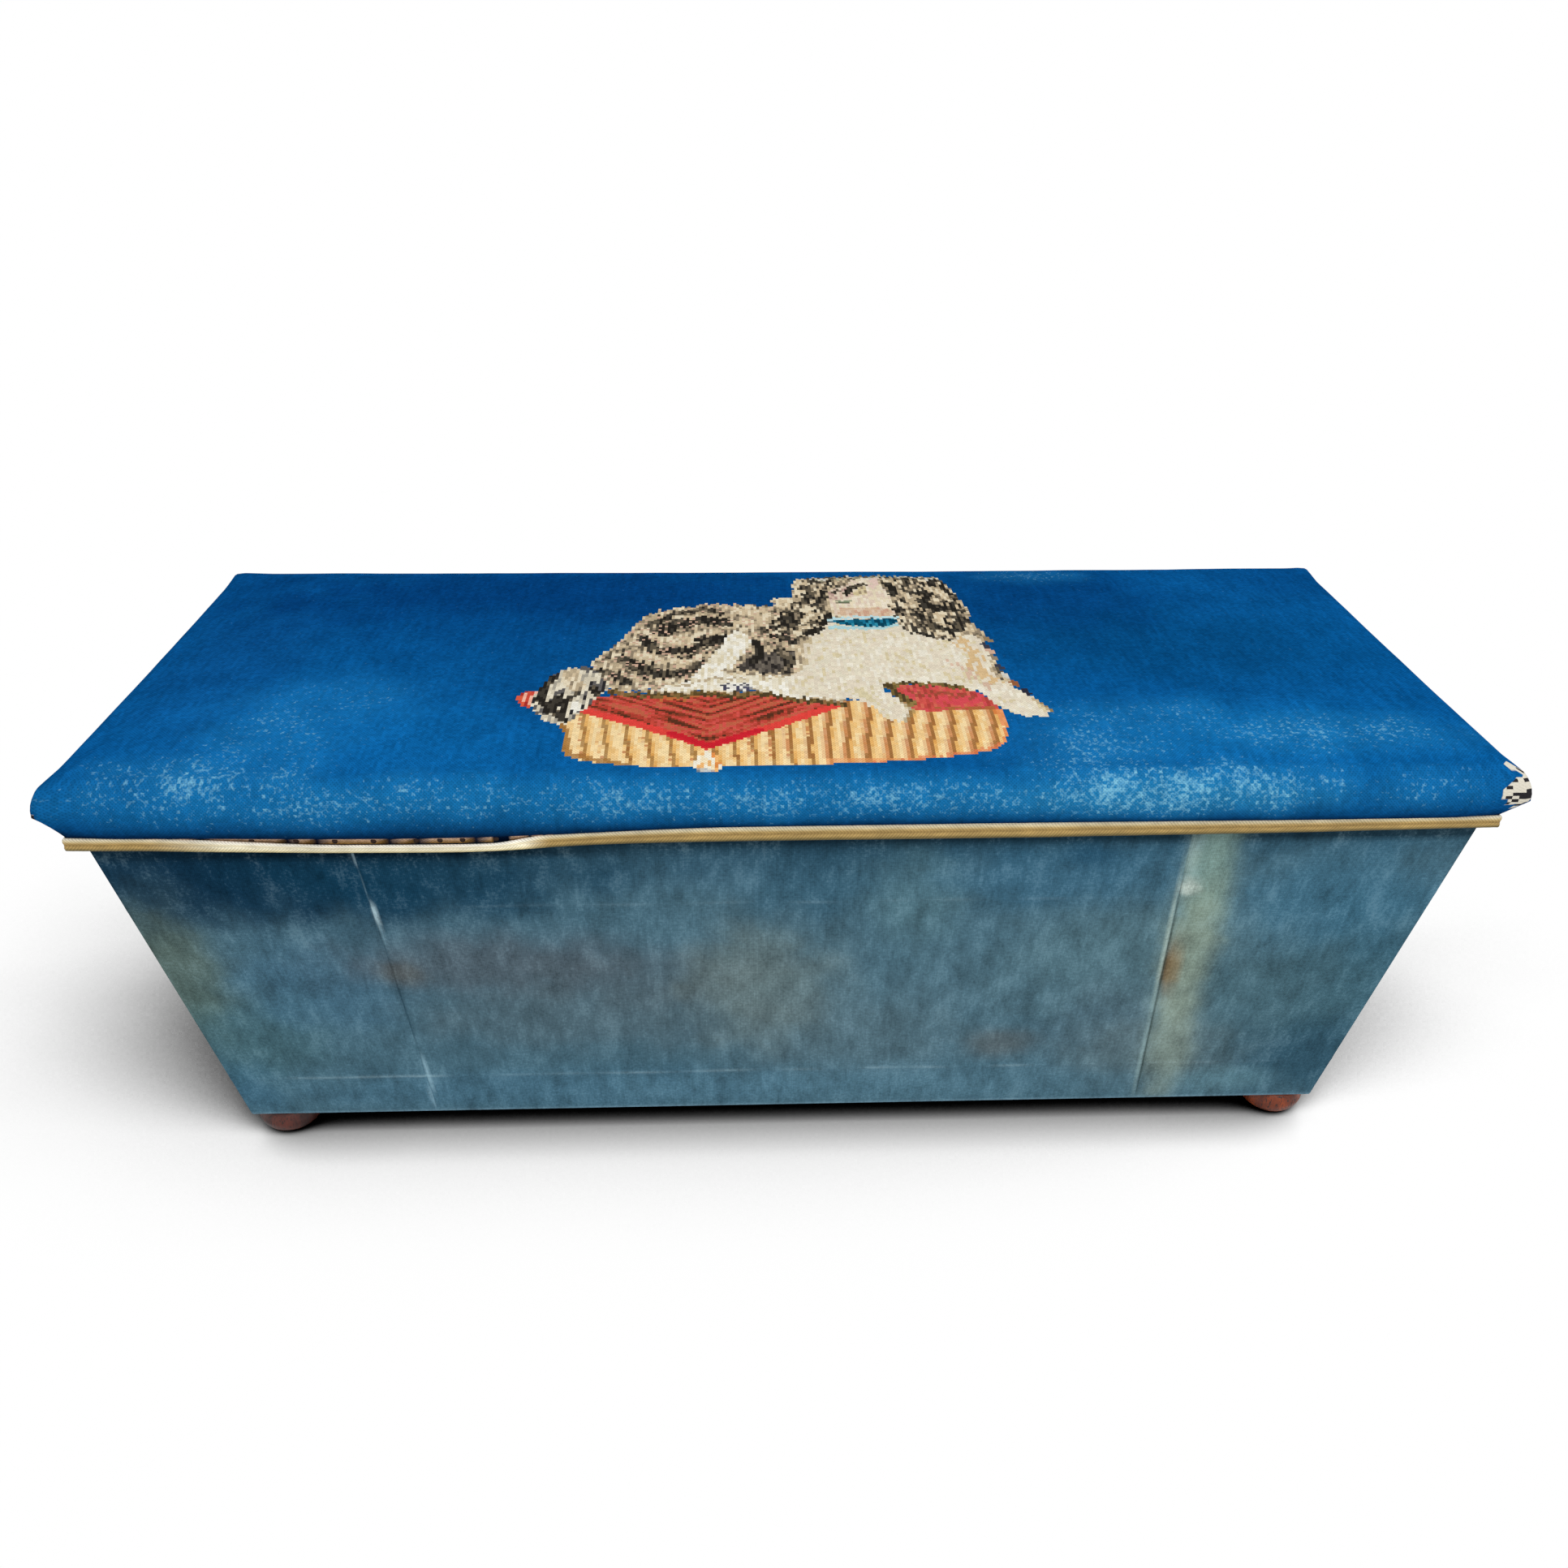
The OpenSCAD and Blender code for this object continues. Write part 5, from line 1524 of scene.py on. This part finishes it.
for at, code in (((214, 40), "#8f7a5c"), ((209, 24), "#3a3b48"), ((212, -6), "#8d7f6a"),
                 ((214, -30), "#3a3b48"), ((222, -72), "#8f5a3a"), ((230, -92), "#2c2c3a"),
                 ((212, 10), "#c9a68f"), ((216, -52), "#c9c6bb")):
    lay(near([at, (at[0] + 3, at[1] - 9)], 3.2), code)

# The dark fringe between the spaniel and the cushion
fringe = (near([(-172, -88), (-150, -94), (-120, -92), (-76, -94), (-40, -98),
    (-20, -96)], 5.5, 5) | near([(-20, -96), (0, -104), (20, -112), (50, -118)], 5, 4)) & ~chest
shaded(fringe & ~haunch, 0.4, 0.9, ("#4a3d26", "#5d4a2a", "#7a6138", "#8f6a45"))
shaded(near([(94, -78), (120, -72), (150, -74), (172, -82)], 6.5, 5) & ~chest, 0.4, 0.9,
    ("#4a3d26", "#6f5c34", "#8a7444"))
shaded(near([(96, -76), (104, -96), (118, -122)], 4.5, 3) & ~chest, 0.4, 0.9,
    ("#4a3d26", "#6f5c34", "#8a7444"))

# Head: the muzzle and blaze, the eyes, the nose, then the ears over them
head = inside([(16, 150), (16, 190), (24, 214), (60, 226), (110, 230), (150, 228), (184, 222),
    (198, 180), (206, 130), (204, 96), (150, 90), (60, 96), (30, 110)], 5)
shaded(head, 0.66, 0.9)
shaded(inside([(56, 118), (54, 150), (60, 178), (80, 196), (84, 222), (108, 222), (112, 196),
    (124, 168), (120, 130), (122, 104), (64, 102)], 4), 0.7, 0.55,
    ("#b9a489", "#cbb898", "#d6c3b0", "#ddd0b4", "#e4d9c4"))
shaded(inside([(64, 106), (66, 126), (96, 128), (120, 122), (118, 102)]), 0.5, 0.8,
    ("#c79f86", "#cdb094", "#d6bfa8"))
shaded(inside([(56, 152), (58, 184), (70, 192), (82, 190), (80, 158)], 3), 0.6, 0.8,
    ("#8f6f6a", "#b3958a", "#cbb29f", "#d9c9b4"))
stroked(EVERYWHERE, (([(76, 168), (80, 184), (92, 196)], 4.6, 0.12),
    ([(82, 188), (92, 198), (100, 196)], 3.4, 0.2),
    ([(128, 166), (131, 184), (124, 198)], 5.0, 0.1), ([(60, 172), (66, 180)], 3.2, 0.2),
    ([(64, 190), (74, 200)], 3.5, 0.3), ([(120, 128), (132, 118), (140, 112)], 3.0, 0.3),
    ([(112, 204), (118, 214)], 3.0, 0.35)), 3)
shaded(inside([(84, 168), (92, 190), (100, 184), (98, 166)], 3), 0.5, 0.8,
    ("#9a8a70", "#c9b98f", "#d6c6a0"))
lay(near([(64, 148), (70, 142), (76, 148)], 3.2), "#7f8a70")
lay(near([(62, 142), (74, 141)], 2.2), "#5b5a48")
lay(near([(108, 190), (112, 214)], 5, 3) & (STROKES > 0.25), "#d9bfb2")
left_ear = inside([(22, 206), (40, 222), (62, 214), (64, 196), (54, 168), (52, 136), (56, 108),
    (48, 84), (40, 60), (26, 48), (4, 56), (-16, 70), (-8, 104), (4, 128), (-2, 140),
    (14, 164)], 5)
shaded(left_ear, 0.5 + 0.35 * patchy, 1.0)
stroked(left_ear, (([(30, 190), (34, 170), (26, 148)], 5, 0.2),
    ([(52, 112), (48, 98), (44, 82)], 5, 0.05), ([(40, 70), (28, 56), (22, 50)], 6, 0.08),
    ([(10, 116), (4, 96), (10, 80)], 6, 0.15), ([(-14, 74), (-6, 60)], 5, 0.2),
    ([(44, 150), (50, 180)], 3.5, 0.15), ([(40, 206), (54, 210)], 3.5, 0.35)), 5)
stroked(left_ear | ~body, (([(2, 140), (-4, 150), (10, 152)], 8), ([(18, 190), (22, 212)], 5),
    ([(26, 130), (30, 108), (22, 84)], 5)), 4, 0.85, 0.4)
right_ear = inside([(136, 226), (160, 232), (186, 220), (196, 184), (202, 140), (207, 112),
    (203, 84), (194, 60), (176, 38), (158, 40), (142, 48), (128, 66), (122, 92), (124, 116),
    (120, 132), (134, 152), (138, 188)], 5)
shaded(right_ear, 0.5 + 0.35 * patchy, 1.0)
stroked(right_ear, (([(168, 164), (160, 142), (170, 126), (192, 122)], 6, 0.08),
    ([(146, 192), (150, 212)], 5, 0.25), ([(176, 196), (180, 218)], 5, 0.2),
    ([(150, 104), (156, 84), (164, 66)], 6, 0.25), ([(196, 96), (190, 74), (180, 56)], 5, 0.2),
    ([(138, 54), (156, 42), (170, 42)], 4, 0.3), ([(126, 116), (134, 126)], 4, 0.15)), 5)
stroked(right_ear, (([(140, 170), (146, 150), (150, 130)], 5), ([(170, 108), (172, 86)], 5),
    ([(186, 170), (190, 148)], 4), ([(194, 200), (202, 160)], 3)), 4, 0.85, 0.4)
crown = near([(24, 214), (60, 224), (110, 228), (150, 226),
    (184, 220)], 9, 6) & body | near([(40, 220), (110, 226), (180, 222)], 7, 7)
shaded(crown, 0.45, 1.1, ("#3d3932", "#5f5647", "#8d8a72", "#a9a58c", "#c9c6bb"))

# The collar: teal, between pale edges
lay(near([(50, 94), (90, 99), (124, 96)], 3.6, 3), "#b8d6da")
lay(near([(52, 72), (80, 66), (104, 66), (120, 74)], 4.6, 2), "#a9cdd0")
collar = inside([(53, 90), (90, 92), (122, 92), (120, 76), (104, 70), (80, 72), (60, 80)], 2)
shaded(collar, 0.4, 1.0, ("#0c3f55", "#0f4f66", "#1a6f8e", "#2f8aa3"))

# Now the cover itself: the wool's cobalt dye, paler where it is worn and faded, darkened by
# painted shade towards the foot of the roll, and the shader that works every stitch.
LID_DYE = "#07508c"
LID_WASHES = [
    (-470, -150, 130, 80, 0.75, "#0d63a6"), (-300, -190, 200, 60, 0.6, "#0b60a0"), (-560, -10,
                                                                                    70, 160, 0.5,
                                                                                    "#0a4680"),
    (-250, 150, 330, 110, 0.85, "#02336c"), (-344, 40, 110, 70, 0.5, "#054a86"),
    (-230, -60, 60, 120, 0.5, "#04437c"), (290, 130, 130, 120, 0.85, "#03386f"),
    (430, 0, 200, 90, 0.6, "#03406f"), (250, -110, 80, 60, 0.5, "#06508c"),
    (-20, -268, 560, 26, 0.6, "#10639a"), (440, -185, 170, 55, 0.7, "#0d64a2"),
    (570, -220, 90, 60, 0.5, "#065592"), (590, -60, 60, 140, 0.5, "#05508c"),
    (-600, 200, 60, 60, 0.5, "#033c74"), (600, 200, 70, 60, 0.5, "#033c74"),
    (330, -268, 130, 16, 0.6, "#2a7399")]
LID_WEAR = [
    (-475, -185, 60, 80, 0.4), (-515, -245, 90, 34, 0.55), (-400, -268, 240, 26, 0.5),
    (-110, -270, 260, 24, 0.55), (90, -272, 200, 22, 0.6), (340, -266, 130, 30, 0.8),
    (270, -215, 80, 44, 0.45), (330, -160, 100, 40, 0.35), (500, -190, 130, 32, 0.45),
    (301, 214, 60, 28, 0.4), (-600, -255, 24, 18, 0.5), (-430, -110, 70, 50, 0.3),
    (560, -266, 60, 20, 0.4)]
CANVAS_PATCHES = [(650, -266, 22, 25), (-646, -276, 7, 9), (658, -246, 14, 13)]
FOOT_TRAVEL = 11.0  # mm of the cover below the roll, behind the braid and turned in
BARE = -1.0  # the wear of a place without wool
TAPE_PINK, TAPE_BROWN = "#cfae98", "#b08440"
# Colours of the painted shade: navy up the roll's foot, near black at the foot and behind the
# braid.
PAINTED_SHADE_NAVY, PAINTED_SHADE_BLACK = "#08305c", "#06142c"


def lid_shade(x, y):
    """Dye at a flat place on the cover, in mm, with painted shade towards the roll's foot and
    behind the braid, and how far it is worn (-1 is bare canvas).
    """
    tone = washed(LID_DYE, LID_WASHES, x, y)
    wear = 0.03
    for wx, wy, rx, ry, strength in LID_WEAR:
        reach = math.hypot((x - wx) / rx, (y - wy) / ry)
        if reach < 2.2:
            reach += 0.4 * blurred(x, y, 45, wx) + 0.12 * blurred(x, y, 9, wy)
            wear = max(wear, strength / (1 + math.exp(4 * (reach - 1))))
    for cx, cy, rx, ry in CANVAS_PATCHES:
        reach = math.hypot((x - cx) / rx, (y - cy) / ry) + 0.35 * blurred(x, y, 7, 3)
        if reach < 1:
            wear = BARE
    above = wool_travel / MM - FOOT_TRAVEL - max(abs(x) - TOP_X / MM, abs(y) - TOP_Y / MM)
    if above > 0:
        # Painted shade: navy, then near black, deepening towards the foot of the roll.
        for code, reach, share in ((PAINTED_SHADE_NAVY, 21, 0.75), (PAINTED_SHADE_BLACK, 9, 0.9)):
            fall = share * bell(above, reach * (1 + 0.25 * blurred(x, y, 30, 2)))
            tone = tone + (rgb(code) - tone) * fall
            wear *= 1 - fall if wear > 0 else 1
    elif wear > 0:
        hangs = y < -TOP_Y / MM and SAG_FROM[0] < x * MM + BRAID_X < SAG_TO[1]
        # Painted shade: near black on the turned-in edge behind the braid; the tape shows where
        # the braid hangs loose.
        code = (PAINTED_SHADE_BLACK if not hangs or abs(blurred(x, 7, 15, 4)) < 0.12 else
                TAPE_PINK if above > -5 - blurred(x, 0, 12, 4) else TAPE_BROWN)
        tone, wear = rgb(code) * (1 + 0.4 * blurred(x, y, 9, 6)), 0.0
    return (*tone, wear)


def woolwork():
    """Berlin wool in cross stitch on canvas: every stitch has its own shade of colour and its
    two crossed strands, darkened as painted shade in the hollows between them; long streaks,
    partly painted sheen and partly mottling, lighten and darken the ground; worn stitches are
    pale, and at the corners the bare canvas shows."""
    made, tree, shader = material("berlin_woolwork", Roughness=1.0, Specular_IOR_Level=0.0)
    flat = add(tree, "UVMap", uv_map="flat").outputs[0]
    dyed = add(tree, "VertexColor", layer_name="dye")
    drawn = add(tree, "VertexColor", layer_name="figure")
    step = scaled(tree, flat, 1 / STITCH)
    cell = add(tree, "VectorMath", {0: step}, operation="FLOOR").outputs[0]
    part = add(tree, "VectorMath", {0: step}, operation="FRACTION").outputs[0]
    luck = add(tree, "TexWhiteNoise", {"Vector": cell}, noise_dimensions="2D")
    luck_split = add(tree, "SeparateXYZ", {0: luck.outputs["Color"]})
    place = add(tree, "SeparateXYZ", {0: part})
    rising = calc(tree, "SUBTRACT", place.outputs["X"], place.outputs["Y"])
    falling = calc(tree, "ADD", place.outputs["X"], place.outputs["Y"])
    falling = calc(tree, "SUBTRACT", falling, 1.0)
    strands = []
    for side, top in ((rising, 0.85), (falling, 1.0)):
        away = calc(tree, "ABSOLUTE", side)
        strands.append(add(tree, "MapRange", {"Value": away, "From Max": 0.62, "To Min": top,
                                              "To Max": 0.0},
                           interpolation_type="SMOOTHSTEP").outputs[0])
    relief = calc(tree, "MAXIMUM", strands[0], strands[1])
    # Painted sheen: long streaks along the columns, mixed with mottling, raise and lower the
    # ground.
    stretched = drawn_out(tree, flat, (1.0, 0.14, 1.0))
    sheen_streak = clouds(tree, stretched, 7 * MM, 3.0, 0.6)
    cloud = clouds(tree, flat, 0.05, 4.0, 0.6)
    sheen_and_mottle = merged(tree, 0.45, sheen_streak, cloud)
    sheen_and_mottle = ranged(tree, sheen_and_mottle, 0.32, 0.68, 0.78, 1.22)
    jitter = ranged(tree, luck.outputs["Value"], 0, 1, 0.84, 1.16)
    # Painted shade in the hollows between the crossed strands.
    hollow_painted_shade = ranged(tree, relief, 0.1, 0.7, 0.68, 1.05)
    ground_gain = calc(tree, "MULTIPLY", sheen_and_mottle, jitter)
    ground = scaled(tree, dyed.outputs["Color"], ground_gain)
    wear = dyed.outputs["Alpha"]
    patch = ranged(tree, cloud, 0.35, 0.65, 0.7, 1.2)
    worn = calc(tree, "MULTIPLY", wear, patch)
    faded = ranged(tree, worn, 0, 1, 0, 0.75)
    ground = blend(tree, faded, ground, colour("#2381b9"))
    fluff = clouds(tree, flat, 4 * MM, 2.0, 0.5)
    fluff = ranged(tree, fluff, 0.3, 0.7)
    fine = clouds(tree, flat, 2.2 * MM)
    fine = ranged(tree, fine, 0.3, 0.72)
    fluff = merged(tree, 0.4, fluff, fine)
    flecks = merged(tree, 0.35, fluff, luck_split.outputs["Y"])
    rubbed = calc(tree, "MULTIPLY", worn, 0.75)
    rubbed = calc(tree, "ADD", rubbed, flecks)
    rubbed = ranged(tree, rubbed, 0.87, 1.32, 0, 0.75)
    ground = blend(tree, rubbed, ground, colour("#84c2d8"))
    figure_gain = ranged(tree, luck_split.outputs["X"], 0, 1, 0.9, 1.06)
    figure = scaled(tree, drawn.outputs["Color"], figure_gain)
    wool = blend(tree, drawn.outputs["Alpha"], ground, figure)
    wool = scaled(tree, wool, hollow_painted_shade)
    thread = calc(tree, "LESS_THAN", luck_split.outputs["Z"], 0.3)
    canvas = blend(tree, thread, colour("#d6d0c0"), colour("#2c2a2c"))
    bare = ranged(tree, wear, -0.3, -0.5)
    seen = add(tree, "Mix", {"Factor": bare, "A": wool, "B": canvas}, data_type="RGBA")
    fibre = clouds(tree, flat, 0.9 * MM)
    height = merged(tree, 0.3, relief, fibre)
    finish_shader(tree, shader, seen.outputs["Result"], height, 0.7, 0.9 * MM)
    return made


def stepped(stops):
    """Places in stitches along the cover, with the given step between each pair of stops."""
    places = [stops[0][0]]
    for (start, step), after in zip(stops, stops[1:]):
        places += list(range(start + step, after[0] + 1, step))
    return [p * STITCH for p in places]


wool_columns = stepped([(-200, 1), (-193, 4), (CHART_LEFT, 1), (CHART_RIGHT, 4), (192, 1),
                        (200, 1)])
wool_rows = [k * STITCH for k in range(-76, 77)]
cover, wool_travel = cover_sheet("woolwork_on_canvas", wool_columns, wool_rows, 0.0, 0.0,
                                 0.9 * MM, woolwork())
paint(cover, "dye", lid_shade)
cover_mesh = cover.data
uv_values = np.empty(2 * len(cover_mesh.loops), np.float32)
cover_mesh.uv_layers["flat"].data.foreach_get("uv", uv_values)
corner_places = uv_values.reshape(-1, 4, 2)
face_places = corner_places.mean(1) / STITCH
chart_column = np.floor(face_places[:, 0]).astype(int) - CHART_LEFT
chart_row = np.floor(face_places[:, 1]).astype(int) + CHART_HALF
on_chart = ((chart_column >= 0) & (chart_column < chart_columns)
            & (chart_row >= 0) & (chart_row < chart_rows))
stitches = np.zeros((len(face_places), 4), np.float32)
stitches[on_chart] = chart[chart_row[on_chart], chart_column[on_chart]]
figure_layer = cover_mesh.color_attributes.new("figure", "FLOAT_COLOR", "CORNER")
figure_layer.data.foreach_set("color", np.repeat(stitches, 4, 0).ravel())
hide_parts("woolwork_cover")

# The braid: two round silk and worsted cords woven side by side, tacked over the cover's edge.
# A stretch at the front left has come loose and hangs, clean where the sun hasn't reached it.
BRAID_BOTTOM, BRAID_HEIGHT = RAIL_BOTTOM + 0.1 * MM, 12.5 * MM
BRAID_THICK = 2.3 * MM
BRAID_STEP, TWIST_PITCH = 1.5 * MM, 9 * MM
BRAID_BEND = 2.4 * MM
LOOSE_OUT, LOOSE_HEIGHT, SEAT_OVER = 1.2 * MM, 8 * MM, 0.4 * MM


def braid_path(s):
    """A point and the outward direction on the braid's line, from the front left corner."""
    sides = [((-1, -1), (1, 0)), ((1, -1), (0, 1)), ((1, 1), (-1, 0)), ((-1, 1), (0, -1))]
    for (cx, cy), (dx, dy) in sides:
        length = 2 * (BRAID_X if dx else BRAID_Y)
        if s <= length:
            start = Vector((cx * BRAID_X, cy * BRAID_Y, 0))
            along = Vector((dx, dy, 0))
            out = Vector((dy, -dx, 0))
            ends = [(s, -along), (length - s, along)]
            point = start + along * s
            for reach, way in ends:
                if reach < BRAID_BEND:
                    turn = math.pi / 4 * (1 - reach / BRAID_BEND)
                    point -= out * BRAID_BEND * (1 - math.cos(turn)) * 0.6
                    out = (out * math.cos(turn) + way * math.sin(turn)).normalized()
            return point, out
        s -= length
    return braid_path(0)


count = round(BRAID_LENGTH / BRAID_STEP)
profile = [(share, True) for share in (0.0, 0.04, 0.12, 0.2, 0.28, 0.36, 0.43, 0.5,
                                       0.57, 0.64, 0.72, 0.8, 0.88, 0.96, 1.0)]
profile += [(1.0, False), (0.5, False), (0.0, False)]


def braid_place(k, row):
    share, face = profile[row]
    s = BRAID_LENGTH * (k % count) / count
    point, out = braid_path(s)
    low = BRAID_BOTTOM - dropped(BRAID_DROPS, s)
    high = BRAID_TOP + SEAT_OVER - dropped(FOOT_DROPS, s)
    high += (low + LOOSE_HEIGHT - high) * loose(s)
    height = low + (high - low) * share
    push = LOOSE_OUT * math.sqrt(loose(s))
    depth = 0.0
    if face:
        cord = 0 if share < 0.5 else 1
        across = share * 4 - 1 - 2 * cord
        inner = across if cord == 0 else -across
        ridge = max(math.sqrt(max(0.0, 1 - across ** 2)), 0.72 if inner > 0 else 0.0)
        lean = across * (0.5 if cord else -0.5)
        twist = 0.5 + 0.5 * math.cos(math.tau * (s / TWIST_PITCH + 0.7 * lean))
        depth = BRAID_THICK * (0.3 + ridge * (0.6 + 0.1 * twist))
    wander = 0.3 * MM * blurred(s, 0, 0.05, 9) * (1 if 0.01 < share < 0.99 else 0.4)
    point = point + out * (push - BRAID_THICK + depth)
    return Vector((point.x, point.y, height + wander)), (s, BRAID_HEIGHT * share)


bm = bmesh.new()
bmesh.ops.create_grid(bm, x_segments=count, y_segments=len(profile), size=0.5)
braid_flat = bm.loops.layers.uv.new("flat")
braid_places = {}
for k, vert in enumerate(bm.verts):
    column, row = k % (count + 1), k // (count + 1)
    vert.co, (s, h) = braid_place(column, row % len(profile))
    braid_places[vert] = (BRAID_LENGTH * column / count, h)
for face in bm.faces:
    for loop in face.loops:
        loop[braid_flat].uv = braid_places[loop.vert]
bmesh.ops.remove_doubles(bm, verts=bm.verts, dist=0.002 * MM)
bmesh.ops.recalc_face_normals(bm, faces=bm.faces)


def cord_braid():
    """Twisted cords: gold worsted gone brown, darker along the twist and in the groove between
    them as painted shade; cream with a painted highlight where the loose stretch has been kept
    out of the sun."""
    made, tree, shader = material("twisted_cord_braid", Specular_IOR_Level=0.35)
    flat = add(tree, "UVMap", uv_map="flat").outputs[0]
    clean = add(tree, "VertexColor", layer_name="dye").outputs[0]
    split = add(tree, "SeparateXYZ", {0: flat})
    share = calc(tree, "MULTIPLY", split.outputs["Y"], 1 / BRAID_HEIGHT)
    middle = calc(tree, "SUBTRACT", share, 0.5)
    middle = calc(tree, "ABSOLUTE", middle)
    slope = calc(tree, "MULTIPLY", middle, 1.4)
    turns = calc(tree, "MULTIPLY", split.outputs["X"], 1 / TWIST_PITCH)
    lay_angle = calc(tree, "ADD", turns, slope)
    ply = calc(tree, "MULTIPLY", lay_angle, 3.0)
    ply = calc(tree, "PINGPONG", ply, 0.5)
    ply = calc(tree, "MULTIPLY", ply, 2.0)
    drawn = drawn_out(tree, flat, (0.12, 1.0, 1.0))
    strands = clouds(tree, drawn, 1.6 * MM, 3.0)
    groove_painted_shade = ranged(tree, middle, 0, 0.12, 0.6)
    body = calc(tree, "MULTIPLY", ply, groove_painted_shade)
    level = merged(tree, 0.6, body, strands)
    level = ranged(tree, level, 0.2, 0.75)
    # Painted shade and highlight: the colour follows the twist and darkens in the groove.
    tint = ranged(tree, level, 0, 1, 0.62, 1.25)
    shade = scaled(tree, clean, tint)
    shine = ranged(tree, level, 0, 1, 0.75, 0.5)
    finish_shader(tree, shader, shade, level, 0.6, 0.5 * MM, shine)
    return made


braid = finish_mesh("corded_braid", bm, cord_braid())
# Painted shade at the bottom and a painted highlight along the top, over the braid's gold and
# cream.
BRAID_TONES_WITH_PAINTED_LIGHT = ("#3f3a22", "#7d6a38", "#b8985a", "#a08248", "#b8985a", "#e0d0a6", "#efe6d2")
CLEAN_TONES_WITH_PAINTED_LIGHT = ("#8a8258", "#cdbd8e", "#ece0bc", "#f4ecd0", "#e8dab4", "#fbf5e2", "#fcf8ec")


def braid_shade(x, y):
    """Dull gold, with painted shade below and a painted highlight along the top; cream where the
    sun hasn't reached, its painted highlight near white.
    """
    s = x * MM
    clean = min(1.0, 2.5 * loose(s)) if s < SAG_TO[1] else 0.0
    at = min(max(y * MM / BRAID_HEIGHT, 0), 0.999) * (len(BRAID_TONES_WITH_PAINTED_LIGHT) - 1)
    step = int(at)
    gold, cream = (rgb(tones[step]) * (1 - at + step)
                   + rgb(tones[step + 1]) * (at - step)
                   for tones in (BRAID_TONES_WITH_PAINTED_LIGHT, CLEAN_TONES_WITH_PAINTED_LIGHT))
    dull = 1 + 0.22 * blurred(x, 0, 90, 5) + 0.12 * blurred(x, y, 14, 5)
    return (gold + (cream - gold) * clean) * dull


paint(braid, "dye", braid_shade)
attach(braid, "lid")
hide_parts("braid")

# Gimp tacks, still in the edge where the loose stretch has come away from them.
GIMP_X = (-483, -444, -410, -376, -338, -317, -297, -267)
tack_y = -(LID_Y - TUCK_IN)
gimp_places = [Vector((x * MM, tack_y, BRAID_TOP - 2.5 * MM
                       - dropped(FOOT_DROPS, x * MM + BRAID_X))) for x in GIMP_X]
gimp_tacks = tack_heads("gimp_tacks", gimp_places, (0, -1, 0), blued_steel)
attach(gimp_tacks, "lid")

# The lid's lining: the same glazed cotton, pasted and tacked over the frame's underside, cut out
# round the hinges.
lid_lining_low, lid_lining_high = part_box("lid_lining")
leaf_boxes = [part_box(f"lid_hinge_leaf_{end}") for end in ("left", "right")]
lid_lining = level_sheet("cotton_lid_lining", lid_lining_low, lid_lining_high, 14 * MM,
                         buff_cotton, sag=1.2 * MM, seed=8, facing=-1,
                         holes=[(low.x - 0.4 * MM, high.x + 0.4 * MM,
                                 low.y - 0.4 * MM, high.y + 1 * MM) for low, high in leaf_boxes])
thicken(lid_lining, LINING_THICK)
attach(lid_lining, "lid")
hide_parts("lid_lining")
